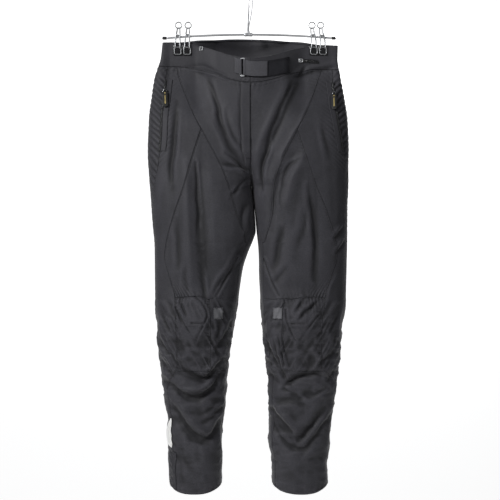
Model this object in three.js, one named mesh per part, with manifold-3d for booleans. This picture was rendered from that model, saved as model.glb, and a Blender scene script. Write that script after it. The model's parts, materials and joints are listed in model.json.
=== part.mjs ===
// Motorcycle trousers of black woven nylon, hanging from a wire clip hanger.
// Millimetres, +Z up. The front faces -Y and the wearer's left is +X.
// The origin is the top of the hook's inside, where a rail carries it.
// The panels are thin walls on one smooth surface: each leg is a tube of sections that
// opens into half of the seat above the crotch. A place on a tube is a turn w and a level z:
// w is 0 at the outer side, 0.5 at the front's middle, 1 at the centre or inner leg,
// and negative round the back.
import * as THREE from 'three';
import { mergeVertices } from 'three/addons/utils/BufferGeometryUtils.js';
import Module from 'manifold-3d';

const wasm = await Module();
wasm.setup();

// Driving sizes
const WALL = 1.6; // cloth with its backing
const BAND_WALL = 2.2; // folded waistband
const SEAM_GAP = 0.4; // between neighbouring panels
const ROW_GAP = 0.3; // between a level seam and each panel
const WAIST_GAP = 0.5; // under the waistband
const LAY_GAP = 0.5; // under a piece that lies on a panel
const SQUARE = 0.82; // exponent of the section's curve: 1 is an ellipse, less is squarer
const HANG_HEIGHT = 21.5; // hook's inside top above the drawing's own zero level

// Levels, measured down from the drawing's zero
const LEVEL = {
  bandTop: -128,
  waistSeam: -183,
  forkTop: -322, // where the thigh seam leaves the diagonal seam
  crotch: -452,
  gussetEnd: -575, // tip of the centre front panel
  kneeTop: -697,
  kneeEnd: -858,
  sideEnd: -896, // tip of the outer side panel
  hem: -1113,
};

// Half outlines of the two legs, seen from the front
const OUTLINE = {
  right: [
    { z: -128, outer: -197, inner: 2 },
    { z: -164, outer: -201, inner: 2 },
    { z: -187, outer: -208, inner: 2 },
    { z: -209, outer: -215, inner: 2 },
    { z: -254, outer: -222, inner: 2 },
    { z: -299, outer: -228.5, inner: 2 },
    { z: -366, outer: -231, inner: 2 },
    { z: -434, outer: -226, inner: 3 },
    { z: -501, outer: -221.6, inner: 10 },
    { z: -549, outer: -218, inner: 13 },
    { z: -569, outer: -216, inner: 7 },
    { z: -592, outer: -215, inner: -3 },
    { z: -637, outer: -215, inner: -17 },
    { z: -704, outer: -212.6, inner: -27 },
    { z: -749, outer: -210, inner: -34 },
    { z: -794, outer: -205, inner: -41.6 },
    { z: -839, outer: -200, inner: -49.5 },
    { z: -884, outer: -197, inner: -53 },
    { z: -929, outer: -190, inner: -57 },
    { z: -974, outer: -183.5, inner: -62 },
    { z: -1019, outer: -183, inner: -65 },
    { z: -1064, outer: -182, inner: -64 },
    { z: -1121, outer: -180, inner: -64 },
  ],
  left: [
    { z: -128, outer: 198, inner: 2 },
    { z: -164, outer: 197, inner: 2 },
    { z: -187, outer: 201.5, inner: 2 },
    { z: -209, outer: 205, inner: 2 },
    { z: -254, outer: 213, inner: 2 },
    { z: -299, outer: 219.5, inner: 2 },
    { z: -366, outer: 221.6, inner: 2 },
    { z: -434, outer: 221.6, inner: 3 },
    { z: -501, outer: 219.4, inner: 10 },
    { z: -549, outer: 217.5, inner: 14.6 },
    { z: -592, outer: 217, inner: 19 },
    { z: -659, outer: 215, inner: 21.4 },
    { z: -704, outer: 213.8, inner: 23.6 },
    { z: -749, outer: 208, inner: 26 },
    { z: -794, outer: 203.6, inner: 30 },
    { z: -839, outer: 199, inner: 36 },
    { z: -884, outer: 194.6, inner: 39.4 },
    { z: -929, outer: 188, inner: 41.6 },
    { z: -974, outer: 180, inner: 43 },
    { z: -1019, outer: 176.6, inner: 44 },
    { z: -1064, outer: 172, inner: 49.5 },
    { z: -1121, outer: 173.5, inner: 50 },
  ],
};

// Depths of front and back at each leg's middle and at the garment's centre.
// split goes from 0, one flat seat, to 1, two round legs.
const DEPTH = [
  { z: -128, front: 22, back: 24, centreFront: 42, centreBack: 44, split: 0 },
  { z: -183, front: 34, back: 38, centreFront: 46, centreBack: 50, split: 0 },
  { z: -250, front: 47, back: 52, centreFront: 54, centreBack: 60, split: 0 },
  { z: -310, front: 56, back: 64, centreFront: 58, centreBack: 68, split: 0.1 },
  { z: -366, front: 62, back: 72, centreFront: 54, centreBack: 66, split: 0.45 },
  { z: -410, front: 66, back: 76, centreFront: 38, centreBack: 46, split: 0.85 },
  { z: -436, front: 68, back: 77, centreFront: 18, centreBack: 21, split: 1 },
  { z: -452, front: 69, back: 78, centreFront: 0, centreBack: 0, split: 1 },
  { z: -501, front: 71, back: 78, centreFront: 0, centreBack: 0, split: 1 },
  { z: -592, front: 70, back: 72, centreFront: 0, centreBack: 0, split: 1 },
  { z: -670, front: 68, back: 64, centreFront: 0, centreBack: 0, split: 1 },
  { z: -697, front: 71, back: 61, centreFront: 0, centreBack: 0, split: 1 },
  { z: -750, front: 76, back: 56, centreFront: 0, centreBack: 0, split: 1 },
  { z: -830, front: 70, back: 56, centreFront: 0, centreBack: 0, split: 1 },
  { z: -884, front: 60, back: 60, centreFront: 0, centreBack: 0, split: 1 },
  { z: -974, front: 55, back: 60, centreFront: 0, centreBack: 0, split: 1 },
  { z: -1060, front: 56, back: 57, centreFront: 0, centreBack: 0, split: 1 },
  { z: -1121, front: 58, back: 56, centreFront: 0, centreBack: 0, split: 1 },
];

// Seams, as the share of a leg's width from its outer edge. Below 0 and above 1 they lie behind.
const DIAGONAL_SEAM = [
  { z: -183, share: 0.2 },
  { z: -211, share: 0.262 },
  { z: -294, share: 0.46 },
  { z: -322, share: 0.53 },
  { z: -400, share: 0.7 },
  { z: -450, share: 0.775 },
  { z: -513, share: 0.825 },
  { z: -575, share: 0.93 },
];
const THIGH_SEAM = [
  { z: -322, share: 0.53 },
  { z: -372, share: 0.464 },
  { z: -449, share: 0.351 },
  { z: -515, share: 0.228 },
  { z: -580, share: 0.135 },
  { z: -604, share: 0.125 },
  { z: -646, share: 0.183 },
  { z: -697, share: 0.262 },
  { z: -770, share: 0.276 },
  { z: -846, share: 0.27 },
];
const KNEE_SEAM = {
  right: [
    { z: -697, share: 0.67 },
    { z: -770, share: 0.71 },
    { z: -858, share: 0.757 },
  ],
  left: [
    { z: -697, share: 0.738 },
    { z: -770, share: 0.757 },
    { z: -858, share: 0.79 },
  ],
};
const SIDE_SEAM = {
  right: [
    { z: -128, share: 0 },
    { z: -183, share: 0.11 },
    { z: -228, share: 0.131 },
    { z: -337, share: 0.146 },
    { z: -400, share: 0.12 },
    { z: -449, share: 0.06 },
    { z: -592, share: 0.01 },
    { z: -770, share: 0.03 },
    { z: -896, share: 0.09 },
    { z: -1121, share: 0.1 },
  ],
  left: [
    { z: -128, share: 0 },
    { z: -183, share: 0.08 },
    { z: -222, share: 0.104 },
    { z: -281, share: 0.122 },
    { z: -353, share: 0.085 },
    { z: -449, share: 0.02 },
    { z: -592, share: 0 },
    { z: -770, share: -0.02 },
    { z: -896, share: -0.05 },
    { z: -1121, share: -0.06 },
  ],
};
const INNER_SEAM = {
  right: [
    { z: -452, share: 1 },
    { z: -520, share: 0.985 },
    { z: -592, share: 0.95 },
    { z: -704, share: 0.97 },
    { z: -860, share: 1 },
    { z: -1121, share: 1.05 },
  ],
  left: [
    { z: -452, share: 1 },
    { z: -520, share: 0.985 },
    { z: -592, share: 0.95 },
    { z: -704, share: 0.955 },
    { z: -860, share: 0.94 },
    { z: -1121, share: 0.94 },
  ],
};

// Largest folds: a soft trough (height below 0) or ridge along a path of x and z
const FOLDS = [
  { face: 'front', height: -5, width: 17, path: [[-93, -223], [-82, -258], [-60, -317], [-36, -368], [-6, -412]] },
  { face: 'front', height: -9, width: 18, path: [[106, -223], [78, -280], [49, -346], [30, -394], [21, -452]] },
  { face: 'front', height: 5, width: 20, path: [[84, -222], [54, -285], [26, -350], [12, -400]] },
  { face: 'front', height: -7, width: 16, path: [[96, -385], [67, -427], [52, -482], [45, -548]] },
  { face: 'front', height: 6, width: 24, path: [[118, -380], [100, -420], [84, -480]] },
  { face: 'front', height: -7, width: 18, path: [[-112, -416], [-108, -482], [-104, -550], [-97, -694]] },
  { face: 'front', height: 5, width: 22, path: [[-140, -400], [-138, -500], [-132, -600], [-125, -690]] },
  { face: 'front', height: -5, width: 17, path: [[-161, -262], [-168, -340], [-174, -405], [-170, -460]] },
  { face: 'front', height: -5, width: 18, path: [[70, -545], [60, -590], [54, -640]] },
  { face: 'front', height: -4, width: 20, path: [[144, -438], [146, -560], [143, -679]] },
  { face: 'front', height: -8, width: 15, path: [[-157, -846], [-130, -862], [-102, -876], [-76, -858]] },
  { face: 'front', height: -8, width: 16, path: [[-176, -884], [-141, -918], [-112, -920], [-82, -896], [-58, -856]] },
  { face: 'front', height: 6, width: 16, path: [[-160, -872], [-132, -893], [-105, -897], [-78, -878]] },
  { face: 'front', height: -7, width: 17, path: [[-162, -945], [-130, -990], [-102, -1014], [-80, -997], [-64, -960]] },
  { face: 'front', height: 5, width: 16, path: [[-152, -934], [-126, -966], [-102, -988], [-80, -972]] },
  { face: 'front', height: -9, width: 15, path: [[41, -815], [60, -859], [80, -884], [111, -870], [150, -860]] },
  { face: 'front', height: -7, width: 16, path: [[41, -864], [78, -896], [111, -914], [146, -898]] },
  { face: 'front', height: -7, width: 17, path: [[45, -947], [71, -988], [100, -1019], [128, -993], [166, -938]] },
  { face: 'front', height: 5, width: 16, path: [[50, -925], [74, -962], [100, -992], [126, -968], [156, -915]] },
  { face: 'back', height: -7, width: 20, path: [[-108, -470], [-70, -500], [-20, -520]] },
  { face: 'back', height: -7, width: 20, path: [[100, -462], [66, -498], [34, -524]] },
  { face: 'back', height: -8, width: 18, path: [[-185, -700], [-120, -722], [-50, -706]] },
  { face: 'back', height: -7, width: 18, path: [[-180, -762], [-125, -746], [-60, -768]] },
  { face: 'back', height: -8, width: 18, path: [[188, -704], [122, -724], [48, -702]] },
  { face: 'back', height: -7, width: 18, path: [[184, -770], [118, -750], [50, -764]] },
  { face: 'back', height: -6, width: 20, path: [[-150, -250], [-142, -380], [-130, -450]] },
  { face: 'back', height: -6, width: 20, path: [[146, -256], [138, -372], [128, -446]] },
  { face: 'back', height: -6, width: 18, path: [[-160, -900], [-118, -930], [-78, -905]] },
  { face: 'back', height: -6, width: 18, path: [[160, -905], [115, -935], [62, -905]] },
];

// Rounded swellings: the knee protectors under the cloth and the seat
const SWELLINGS = [
  { face: 'front', x: -125, z: -752, wide: 46, tall: 62, height: 9 },
  { face: 'front', x: 112, z: -752, wide: 46, tall: 62, height: 9 },
];

// The hanger's rod lies in the plane y = 0, and the clips close the waistband on it
const ROD = { left: -187, right: 183, ends: -115, middle: -107, radius: 2.4 };
const CLIPS = [
  { name: 'clip_1', x: -162.6, lean: 2 },
  { name: 'clip_2', x: -141.3, lean: 2 },
  { name: 'clip_3', x: 143.5, lean: -4 },
  { name: 'clip_4', x: 163.8, lean: -5 },
];
const JAW = { width: 19, top: -132, foot: -154, thick: 2.2 };
const PINCH = { x: 152, flat: 27, fade: 52, loose: 26, hold: 0.62, full: -168, free: -318 };

// Pocket zip along the side seam, its welt, and the fly
const POCKET = { top: -213, foot: -374, weltWide: 15, zipHalf: 3, slider: -240 };
const FLY = {
  top: -186,
  foot: -386,
  edge: 2, // short of the centre
  width: [
    { z: -184, mm: 21 },
    { z: -340, mm: 20 },
    { z: -376, mm: 15 },
    { z: -398, mm: 8 },
    { z: -520, mm: 9 },
    { z: -575, mm: 12.6 },
  ],
};

// How far the centre of the waist dips in front and rises behind
const DIP = { front: -38, back: 18, halfWidth: 160, free: -430 };
const TILT = 0.018; // the right side of the waist hangs a little higher
const HEM_DROP = 16; // the front of the hem hangs below its sides

const clamp = (v, low, high) => Math.min(high, Math.max(low, v));
const mix = (a, b, t) => a + (b - a) * t;
const ease = (t) => {
  const c = clamp(t, 0, 1);
  return c * c * (3 - 2 * c);
};

// A smooth curve through one column of a table whose rows go down in z, without overshoot
function column(rows, name) {
  const z = rows.map((row) => row.z);
  const v = rows.map((row) => row[name]);
  const slope = z.slice(1).map((_, i) => (v[i + 1] - v[i]) / (z[i + 1] - z[i]));
  const tangent = v.map((_, i) => {
    if (i === 0) return slope[0];
    if (i === v.length - 1) return slope[i - 1];
    const product = slope[i - 1] * slope[i];
    return product <= 0 ? 0 : (2 * product) / (slope[i - 1] + slope[i]);
  });
  return (level) => {
    if (level >= z[0]) return v[0];
    if (level <= z[z.length - 1]) return v[v.length - 1];
    let i = 0;
    while (level < z[i + 1]) i++;
    const step = z[i + 1] - z[i];
    const t = (level - z[i]) / step;
    const a = 2 * t ** 3 - 3 * t ** 2 + 1;
    const b = t ** 3 - 2 * t ** 2 + t;
    const c = t ** 3 - t ** 2;
    return a * v[i] + b * step * tangent[i] + (1 - a) * v[i + 1] + c * step * tangent[i + 1];
  };
}

const depth = {};
for (const name of ['front', 'back', 'centreFront', 'centreBack', 'split']) {
  depth[name] = column(DEPTH, name);
}

// turn is 1 where w runs anticlockwise seen from above, and gap keeps the two legs apart
const LEGS = {
  right: { turn: 1, gap: -SEAM_GAP / 2 },
  left: { turn: -1, gap: SEAM_GAP / 2 },
};
for (const [side, leg] of Object.entries(LEGS)) {
  leg.outer = column(OUTLINE[side], 'outer');
  leg.inner = column(OUTLINE[side], 'inner');
  leg.sideSeam = column(SIDE_SEAM[side], 'share');
  leg.innerSeam = column(INNER_SEAM[side], 'share');
  leg.kneeSeam = column(KNEE_SEAM[side], 'share');
}
const diagonalSeam = column(DIAGONAL_SEAM, 'share');
const thighSeam = column(THIGH_SEAM, 'share');

// How closely front and back are held together near the clips, from 0 to 1
function pinch(x, z) {
  const beyond = Math.abs(x) - PINCH.x;
  const across = beyond > PINCH.flat
    ? mix(1, PINCH.hold, ease((beyond - PINCH.flat) / PINCH.loose))
    : 1 - ease((-beyond - PINCH.flat) / PINCH.fade);
  return across * (1 - ease((PINCH.full - z) / (PINCH.full - PINCH.free)));
}

// Distance from a point to a path, and how far along the path it lies, from 0 to 1
function nearest(path, x, z) {
  let best = { distance: Infinity, along: 0 };
  for (let i = 0; i + 1 < path.length; i++) {
    const [ax, az] = path[i];
    const [bx, bz] = path[i + 1];
    const dx = bx - ax;
    const dz = bz - az;
    const t = clamp(((x - ax) * dx + (z - az) * dz) / (dx * dx + dz * dz), 0, 1);
    const distance = Math.hypot(x - ax - t * dx, z - az - t * dz);
    if (distance < best.distance) best = { distance, along: (i + t) / (path.length - 1) };
  }
  return best;
}

// Height of all folds and swellings at a place
function relief(face, x, z) {
  let height = 0;
  for (const fold of FOLDS) {
    if (fold.face !== face) continue;
    const { distance, along } = nearest(fold.path, x, z);
    const reach = distance / (1.6 * fold.width);
    if (reach < 1) height += fold.height * (1 - reach * reach) ** 2 * Math.sin(Math.PI * mix(0.12, 0.88, along));
  }
  for (const swelling of SWELLINGS) {
    if (swelling.face !== face) continue;
    const r2 = ((x - swelling.x) / swelling.wide) ** 2 + ((z - swelling.z) / swelling.tall) ** 2;
    if (r2 < 1) height += swelling.height * (1 - r2) ** 1.5;
  }
  return height;
}

// A point of the smooth surface, before folds
function basePoint(leg, turn, z) {
  const w = turn > 1 ? turn - 2 : turn < -1 ? turn + 2 : turn;
  const face = w >= 0 ? 'front' : 'back';
  const out = w >= 0 ? -1 : 1;
  const outer = leg.outer(z);
  const inner = leg.inner(z) + leg.gap;
  const middle = (outer + inner) / 2;
  const deep = out * depth[face](z);
  const centre = out * depth[w >= 0 ? 'centreFront' : 'centreBack'](z);
  const t = Math.abs(w);
  let x;
  let y;
  if (t <= 0.5) {
    x = outer + (middle - outer) * (1 - Math.max(0, Math.cos(t * Math.PI)) ** SQUARE);
    y = deep * Math.sin(t * Math.PI) ** SQUARE;
  } else {
    const angle = (t - 0.5) * Math.PI;
    const across = Math.sin(angle) ** SQUARE;
    const round = 1 - Math.max(0, Math.cos(angle)) ** SQUARE;
    x = middle + (inner - middle) * across;
    y = deep + (centre - deep) * mix(ease(across), round, depth.split(z));
  }
  const held = pinch(x, z);
  y = y * (1 - held) + clamp(y / 8, -1, 1) * (BAND_WALL + 0.25) * held;
  const fade = 1 - ease((LEVEL.waistSeam - z) / (LEVEL.waistSeam - DIP.free));
  const middleShare = Math.cos((Math.PI / 2) * clamp(Math.abs(x) / DIP.halfWidth, 0, 1));
  const dip = w >= 0 ? DIP.front * middleShare ** 2 : DIP.back * middleShare ** 1.3;
  const hem = ease((LEVEL.kneeEnd - z) / (LEVEL.kneeEnd - LEVEL.hem));
  const hemDrop = y < 0 ? HEM_DROP * hem * (y / depth.front(z)) ** 2 : 0;
  return { face, x, y, z: z + (dip - TILT * x) * fade - hemDrop };
}

// Above the crotch a turn can't pass the centre, so differences stay on one side of it
function turnLimits(w, z, reach) {
  if (z < LEVEL.crotch) return [w - reach, w + reach];
  return [Math.max(-1, w - reach), Math.min(1, w + reach)];
}

// A point of the surface, with its folds raised along the section's own normal
function surfacePoint(leg, w, z) {
  const p = basePoint(leg, w, z);
  const height = relief(p.face, p.x, p.z);
  if (height !== 0) {
    const [a, b] = turnLimits(w, z, 0.004).map((turn) => basePoint(leg, turn, z));
    const length = Math.hypot(b.x - a.x, b.y - a.y) || 1;
    p.x += (leg.turn * (b.y - a.y) * height) / length;
    p.y += (-leg.turn * (b.x - a.x) * height) / length;
  }
  return new THREE.Vector3(p.x, p.y, p.z);
}

function normalAt(leg, w, z) {
  const [wa, wb] = turnLimits(w, z, 0.01);
  const along = surfacePoint(leg, wb, z).sub(surfacePoint(leg, wa, z));
  const up = surfacePoint(leg, w, z + 2).sub(surfacePoint(leg, w, z - 2));
  return along.cross(up).multiplyScalar(leg.turn).normalize();
}

// A point lifted off the surface. Above the crotch it stays on its own side of the centre.
function lifted(leg, w, z, lift) {
  const point = surfacePoint(leg, w, z).addScaledVector(normalAt(leg, w, z), lift);
  if (z >= LEVEL.crotch) {
    const centre = leg.inner(z) + leg.gap;
    point.x = leg.turn > 0 ? Math.min(point.x, centre) : Math.max(point.x, centre);
  }
  return point;
}

// The turn at a share of the leg's width
function turnAt(share) {
  if (share < 0) return -turnAt(-share);
  if (share > 1) return 2 - turnAt(2 - share);
  if (share <= 0.5) return Math.acos((1 - 2 * share) ** (1 / SQUARE)) / Math.PI;
  return 0.5 + Math.asin((2 * share - 1) ** (1 / SQUARE)) / Math.PI;
}

// The turn that lies a distance in millimetres further round
function shifted(leg, w, z, distance) {
  const from = surfacePoint(leg, w, z);
  const way = Math.sign(distance);
  let near = 0;
  let far = 0.5;
  for (let i = 0; i < 16; i++) {
    const middle = (near + far) / 2;
    const reached = surfacePoint(leg, w + way * middle, z).distanceTo(from) > Math.abs(distance);
    if (reached) far = middle;
    else near = middle;
  }
  return w + way * far;
}

// A closed wall between two grids of points
function wall(outside, inside) {
  const rows = outside.length;
  const columns = outside[0].length;
  const points = [...outside.flat(), ...inside.flat()];
  const positions = points.flatMap((p) => [p.x, p.y, p.z]);
  const at = (layer, row, col) => layer * rows * columns + row * columns + col;
  const index = [];
  const quad = (a, b, c, d) => index.push(a, b, c, a, c, d);
  for (let r = 0; r + 1 < rows; r++) {
    for (let c = 0; c + 1 < columns; c++) {
      quad(at(0, r, c), at(0, r + 1, c), at(0, r + 1, c + 1), at(0, r, c + 1));
      quad(at(1, r, c), at(1, r, c + 1), at(1, r + 1, c + 1), at(1, r + 1, c));
    }
  }
  for (let r = 0; r + 1 < rows; r++) {
    const last = columns - 1;
    quad(at(0, r, 0), at(1, r, 0), at(1, r + 1, 0), at(0, r + 1, 0));
    quad(at(0, r, last), at(0, r + 1, last), at(1, r + 1, last), at(1, r, last));
  }
  for (let c = 0; c + 1 < columns; c++) {
    const last = rows - 1;
    quad(at(0, 0, c), at(0, 0, c + 1), at(1, 0, c + 1), at(1, 0, c));
    quad(at(0, last, c), at(1, last, c), at(1, last, c + 1), at(0, last, c + 1));
  }
  const geometry = new THREE.BufferGeometry();
  geometry.setAttribute('position', new THREE.Float32BufferAttribute(positions, 3));
  geometry.setIndex(volume(positions, index) < 0 ? index.reverse() : index);
  return geometry;
}

function volume(positions, index) {
  let sum = 0;
  const corner = (i) => new THREE.Vector3().fromArray(positions, 3 * index[i]);
  for (let i = 0; i < index.length; i += 3) {
    sum += corner(i).dot(corner(i + 1).cross(corner(i + 2)));
  }
  return sum / 6;
}

// The levels at which every panel has a row, so that neighbours share their seam's line
const STEPS = [
  { to: POCKET.top, rows: 1 },
  { to: LEVEL.forkTop, rows: 4 },
  { to: POCKET.foot, rows: 2 },
  { to: LEVEL.crotch, rows: 4 },
  { to: LEVEL.gussetEnd, rows: 5 },
  { to: LEVEL.kneeTop, rows: 4 },
  { to: LEVEL.kneeEnd, rows: 8 },
  { to: LEVEL.sideEnd, rows: 2 },
  { to: LEVEL.hem, rows: 11 },
];
const levels = [LEVEL.waistSeam];
for (const { to, rows } of STEPS) {
  const from = levels[levels.length - 1];
  for (let i = 1; i <= rows; i++) levels.push(mix(from, to, i / rows));
}

// A panel of one leg. lines holds its seams and lines in order, as functions from level to
// turn, and columns holds the number of columns between each line and the next.
function panel(leg, { top, foot, lines, columns, thick = WALL }) {
  const half = SEAM_GAP / 2;
  const rows = levels.filter((z) => z <= top && z >= foot);
  const places = rows.map((level, r) => {
    const lowered = level - (level === LEVEL.waistSeam ? WAIST_GAP : ROW_GAP);
    const raised = level + (level === LEVEL.hem ? 0 : ROW_GAP);
    const z = r === 0 ? lowered : r === rows.length - 1 ? raised : level;
    const marks = lines.map((line) => line(z));
    marks[0] = shifted(leg, marks[0], z, half);
    marks.push(shifted(leg, marks.pop(), z, -half));
    const row = columns.flatMap((count, i) =>
      Array.from({ length: count }, (_, c) => mix(marks[i], marks[i + 1], c / count)));
    return [...row, marks[marks.length - 1]].map((w) => [w, z]);
  });
  const layer = (lift) => places.map((row) => row.map(([w, z]) => lifted(leg, w, z, lift)));
  return wall(layer(0), layer(-thick));
}

// A piece on a panel between two of its lines, with the panel's own rows and columns
function strip(leg, { top, foot, from, to, columns, low = LAY_GAP, thick = 1.2 }) {
  const rows = [top, ...levels.filter((z) => z < top - 3 && z > foot + 3), foot];
  const layer = (lift) => rows.map((z) => Array.from({ length: columns + 1 }, (_, c) =>
    lifted(leg, mix(from(z), to(z), c / columns), z, lift)));
  return wall(layer(low + thick), layer(low));
}

// A piece that lies on a panel: place gives the turn and level for two shares from 0 to 1
function overlay(leg, place, { columns, rows, low = LAY_GAP, thick = 1.2 }) {
  const layer = (lift) => Array.from({ length: rows + 1 }, (_, r) =>
    Array.from({ length: columns + 1 }, (_, c) => {
      const [w, z] = place(c / columns, r / rows);
      return lifted(leg, w, z, lift);
    }));
  return wall(layer(low + thick), layer(low));
}

// The leg and turn at a distance x from the middle of the front
function frontPlace(x, z) {
  const leg = x < LEGS.right.inner(z) ? LEGS.right : LEGS.left;
  const outer = leg.outer(z);
  const share = clamp((x - outer) / (leg.inner(z) + leg.gap - outer), 0, 1);
  return [leg, turnAt(share)];
}

// A piece on the front of the waist that may cross the centre
function frontOverlay(place, { columns, rows, low = LAY_GAP, thick = 1.2 }) {
  const layer = (lift) => Array.from({ length: rows + 1 }, (_, r) =>
    Array.from({ length: columns + 1 }, (_, c) => {
      const [x, z] = place(c / columns, r / rows);
      const [leg, w] = frontPlace(x, z);
      return lifted(leg, w, z, lift);
    }));
  return wall(layer(low + thick), layer(low));
}

// Boolean joins of closed meshes
function solid(geometry) {
  const bare = geometry.clone();
  for (const name of Object.keys(bare.attributes)) {
    if (name !== 'position') bare.deleteAttribute(name);
  }
  const merged = mergeVertices(bare, 1e-4);
  return new wasm.Manifold(new wasm.Mesh({
    numProp: 3,
    vertProperties: new Float32Array(merged.attributes.position.array),
    triVerts: new Uint32Array(merged.index.array),
  }));
}

function joined(...geometries) {
  const [first, ...others] = geometries.map(solid);
  const mesh = others.reduce((sum, next) => sum.add(next), first).getMesh();
  const geometry = new THREE.BufferGeometry();
  geometry.setAttribute('position', new THREE.Float32BufferAttribute(mesh.vertProperties, 3));
  geometry.setIndex([...mesh.triVerts]);
  return geometry;
}

// A round wire along a curve
function wire(curve, radius, steps, sides) {
  const section = new THREE.Shape();
  for (let i = 0; i < sides; i++) {
    const angle = (2 * Math.PI * i) / sides;
    const point = [radius * Math.cos(angle), radius * Math.sin(angle)];
    if (i === 0) section.moveTo(...point);
    else section.lineTo(...point);
  }
  section.closePath();
  return new THREE.ExtrudeGeometry(section, { steps, extrudePath: curve, curveSegments: 1 });
}

const smoothCurve = (points) => new THREE.CatmullRomCurve3(points.map((p) => new THREE.Vector3(...p)));

const COLOURS = {
  cloth: { color: 0x35353a, roughness: 0.72, metalness: 0 },
  kneeCloth: { color: 0x38383d, roughness: 0.8, metalness: 0 },
  webbing: { color: 0x404045, roughness: 0.75, metalness: 0 },
  loopTape: { color: 0x17171a, roughness: 0.95, metalness: 0 },
  hookTape: { color: 0x48484d, roughness: 0.7, metalness: 0 },
  zipTape: { color: 0x1d1d20, roughness: 0.6, metalness: 0 },
  reflector: { color: 0xf2f2f0, roughness: 0.45, metalness: 0 },
  rubber: { color: 0x141414, roughness: 0.55, metalness: 0 },
  chrome: { color: 0xd9dadd, roughness: 0.12, metalness: 1 },
};
const materials = {};
for (const [name, look] of Object.entries(COLOURS)) {
  materials[name] = new THREE.MeshStandardMaterial({ name, ...look });
}

const drawing = new THREE.Group();
drawing.position.z = -HANG_HEIGHT;

function add(name, geometry, material, parent = drawing) {
  const mesh = new THREE.Mesh(geometry, materials[material]);
  mesh.name = name;
  parent.add(mesh);
  return mesh;
}

// A line beside the side seam, nearer to it below the pocket, for the welt's two edges
const pocketLine = (leg, distance) => (z) => {
  const seam = turnAt(leg.sideSeam(z));
  return shifted(leg, seam, z, distance * (1 - 0.7 * ease((POCKET.foot - z) / 300)));
};
const flyWidth = column(FLY.width, 'mm');
const flyLine = (leg) => (z) => turnAt(1 - flyWidth(z) / Math.abs(leg.inner(z) - leg.outer(z)));

// The thigh seam meets the side seam at the foot of the outer side panel
const thighLine = (leg) => (z) => {
  const tip = ease((LEVEL.kneeEnd + 15 - z) / (LEVEL.kneeEnd + 15 - LEVEL.sideEnd));
  return turnAt(mix(thighSeam(z), leg.sideSeam(z) + 0.02, tip));
};

// Panels of one leg
function addLeg(side) {
  const leg = LEGS[side];
  const turns = (curve) => (z) => turnAt(curve(z));
  const outerSeam = turns(leg.sideSeam);
  const innerSeam = (z) => (z >= LEVEL.crotch ? 1 : turnAt(leg.innerSeam(z)));
  const diagonal = turns(diagonalSeam);
  const thigh = thighLine(leg);
  const knee = turns(leg.kneeSeam);
  const sideInner = (z) => (z > LEVEL.forkTop ? diagonal(z) : thigh(z));
  const thighInner = (z) => (z >= LEVEL.gussetEnd ? diagonal(z) : innerSeam(z));
  const shinOuter = (z) => (z >= LEVEL.sideEnd ? thigh(z) : outerSeam(z));
  const weltStart = pocketLine(leg, POCKET.zipHalf + 0.4);
  const weltEnd = pocketLine(leg, POCKET.weltWide);
  const flyEdge = flyLine(leg);
  const { waistSeam, forkTop, gussetEnd, kneeTop, kneeEnd, sideEnd, hem } = LEVEL;
  const parts = {
    centre_front: { top: waistSeam, foot: gussetEnd, lines: [diagonal, flyEdge, innerSeam], columns: [4, 2] },
    outer_side: { top: waistSeam, foot: sideEnd, lines: [outerSeam, weltStart, weltEnd, sideInner], columns: [1, 1, 4] },
    thigh_front: { top: forkTop - 1, foot: kneeTop, lines: [thigh, thighInner], columns: [7] },
    knee_panel: { top: kneeTop, foot: kneeEnd, lines: [thigh, knee], columns: [5] },
    inner_knee: { top: kneeTop, foot: kneeEnd, lines: [knee, innerSeam], columns: [4] },
    shin_front: { top: kneeEnd, foot: hem, lines: [shinOuter, innerSeam], columns: [10] },
    back: { top: waistSeam, foot: hem, lines: [(z) => innerSeam(z) - 2, outerSeam], columns: [11] },
  };
  for (const [name, shape] of Object.entries(parts)) {
    add(`${side}_${name}`, panel(leg, shape), name === 'knee_panel' ? 'kneeCloth' : 'cloth');
  }
}

// The waistband: two fronts and one back, each a row of turns at three levels
function addWaistband() {
  const rows = [LEVEL.bandTop, mix(LEVEL.bandTop, LEVEL.waistSeam, 0.5), LEVEL.waistSeam + SEAM_GAP / 2];
  const half = (leg, from, to, columns) => (z) => {
    const a = shifted(leg, from, z, Math.sign(to - from) * (SEAM_GAP / 2));
    return Array.from({ length: columns + 1 }, (_, c) => [leg, mix(a, to, c / columns), z]);
  };
  const build = (name, places) => {
    const layer = (lift) => rows.map((z) => places(z).map(([leg, w, level]) => lifted(leg, w, level, lift)));
    add(name, wall(layer(0), layer(-BAND_WALL)), 'cloth');
  };
  build('waistband_right', half(LEGS.right, 0, 1, 28));
  build('waistband_left', half(LEGS.left, 0, 1, 28));
  const rightBack = half(LEGS.right, 0, -1, 24);
  const leftBack = half(LEGS.left, 0, -1, 24);
  build('waistband_back', (z) => [...rightBack(z), ...leftBack(z).reverse().slice(1)]);
}

// Fly, hook-and-loop tab and its ring
const TAB = { ringX: -16, ringWide: 11, ringTall: 42, ringWire: 2.6, end: 38, loopEnd: 87, top: -134, foot: -168, drop: 11 };

function addFly() {
  const leg = LEGS.right;
  add('fly', strip(leg, { ...FLY, from: flyLine(leg), to: (z) => shifted(leg, 1, z, -FLY.edge), columns: 2, low: 0.6 }), 'cloth');
}

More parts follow.
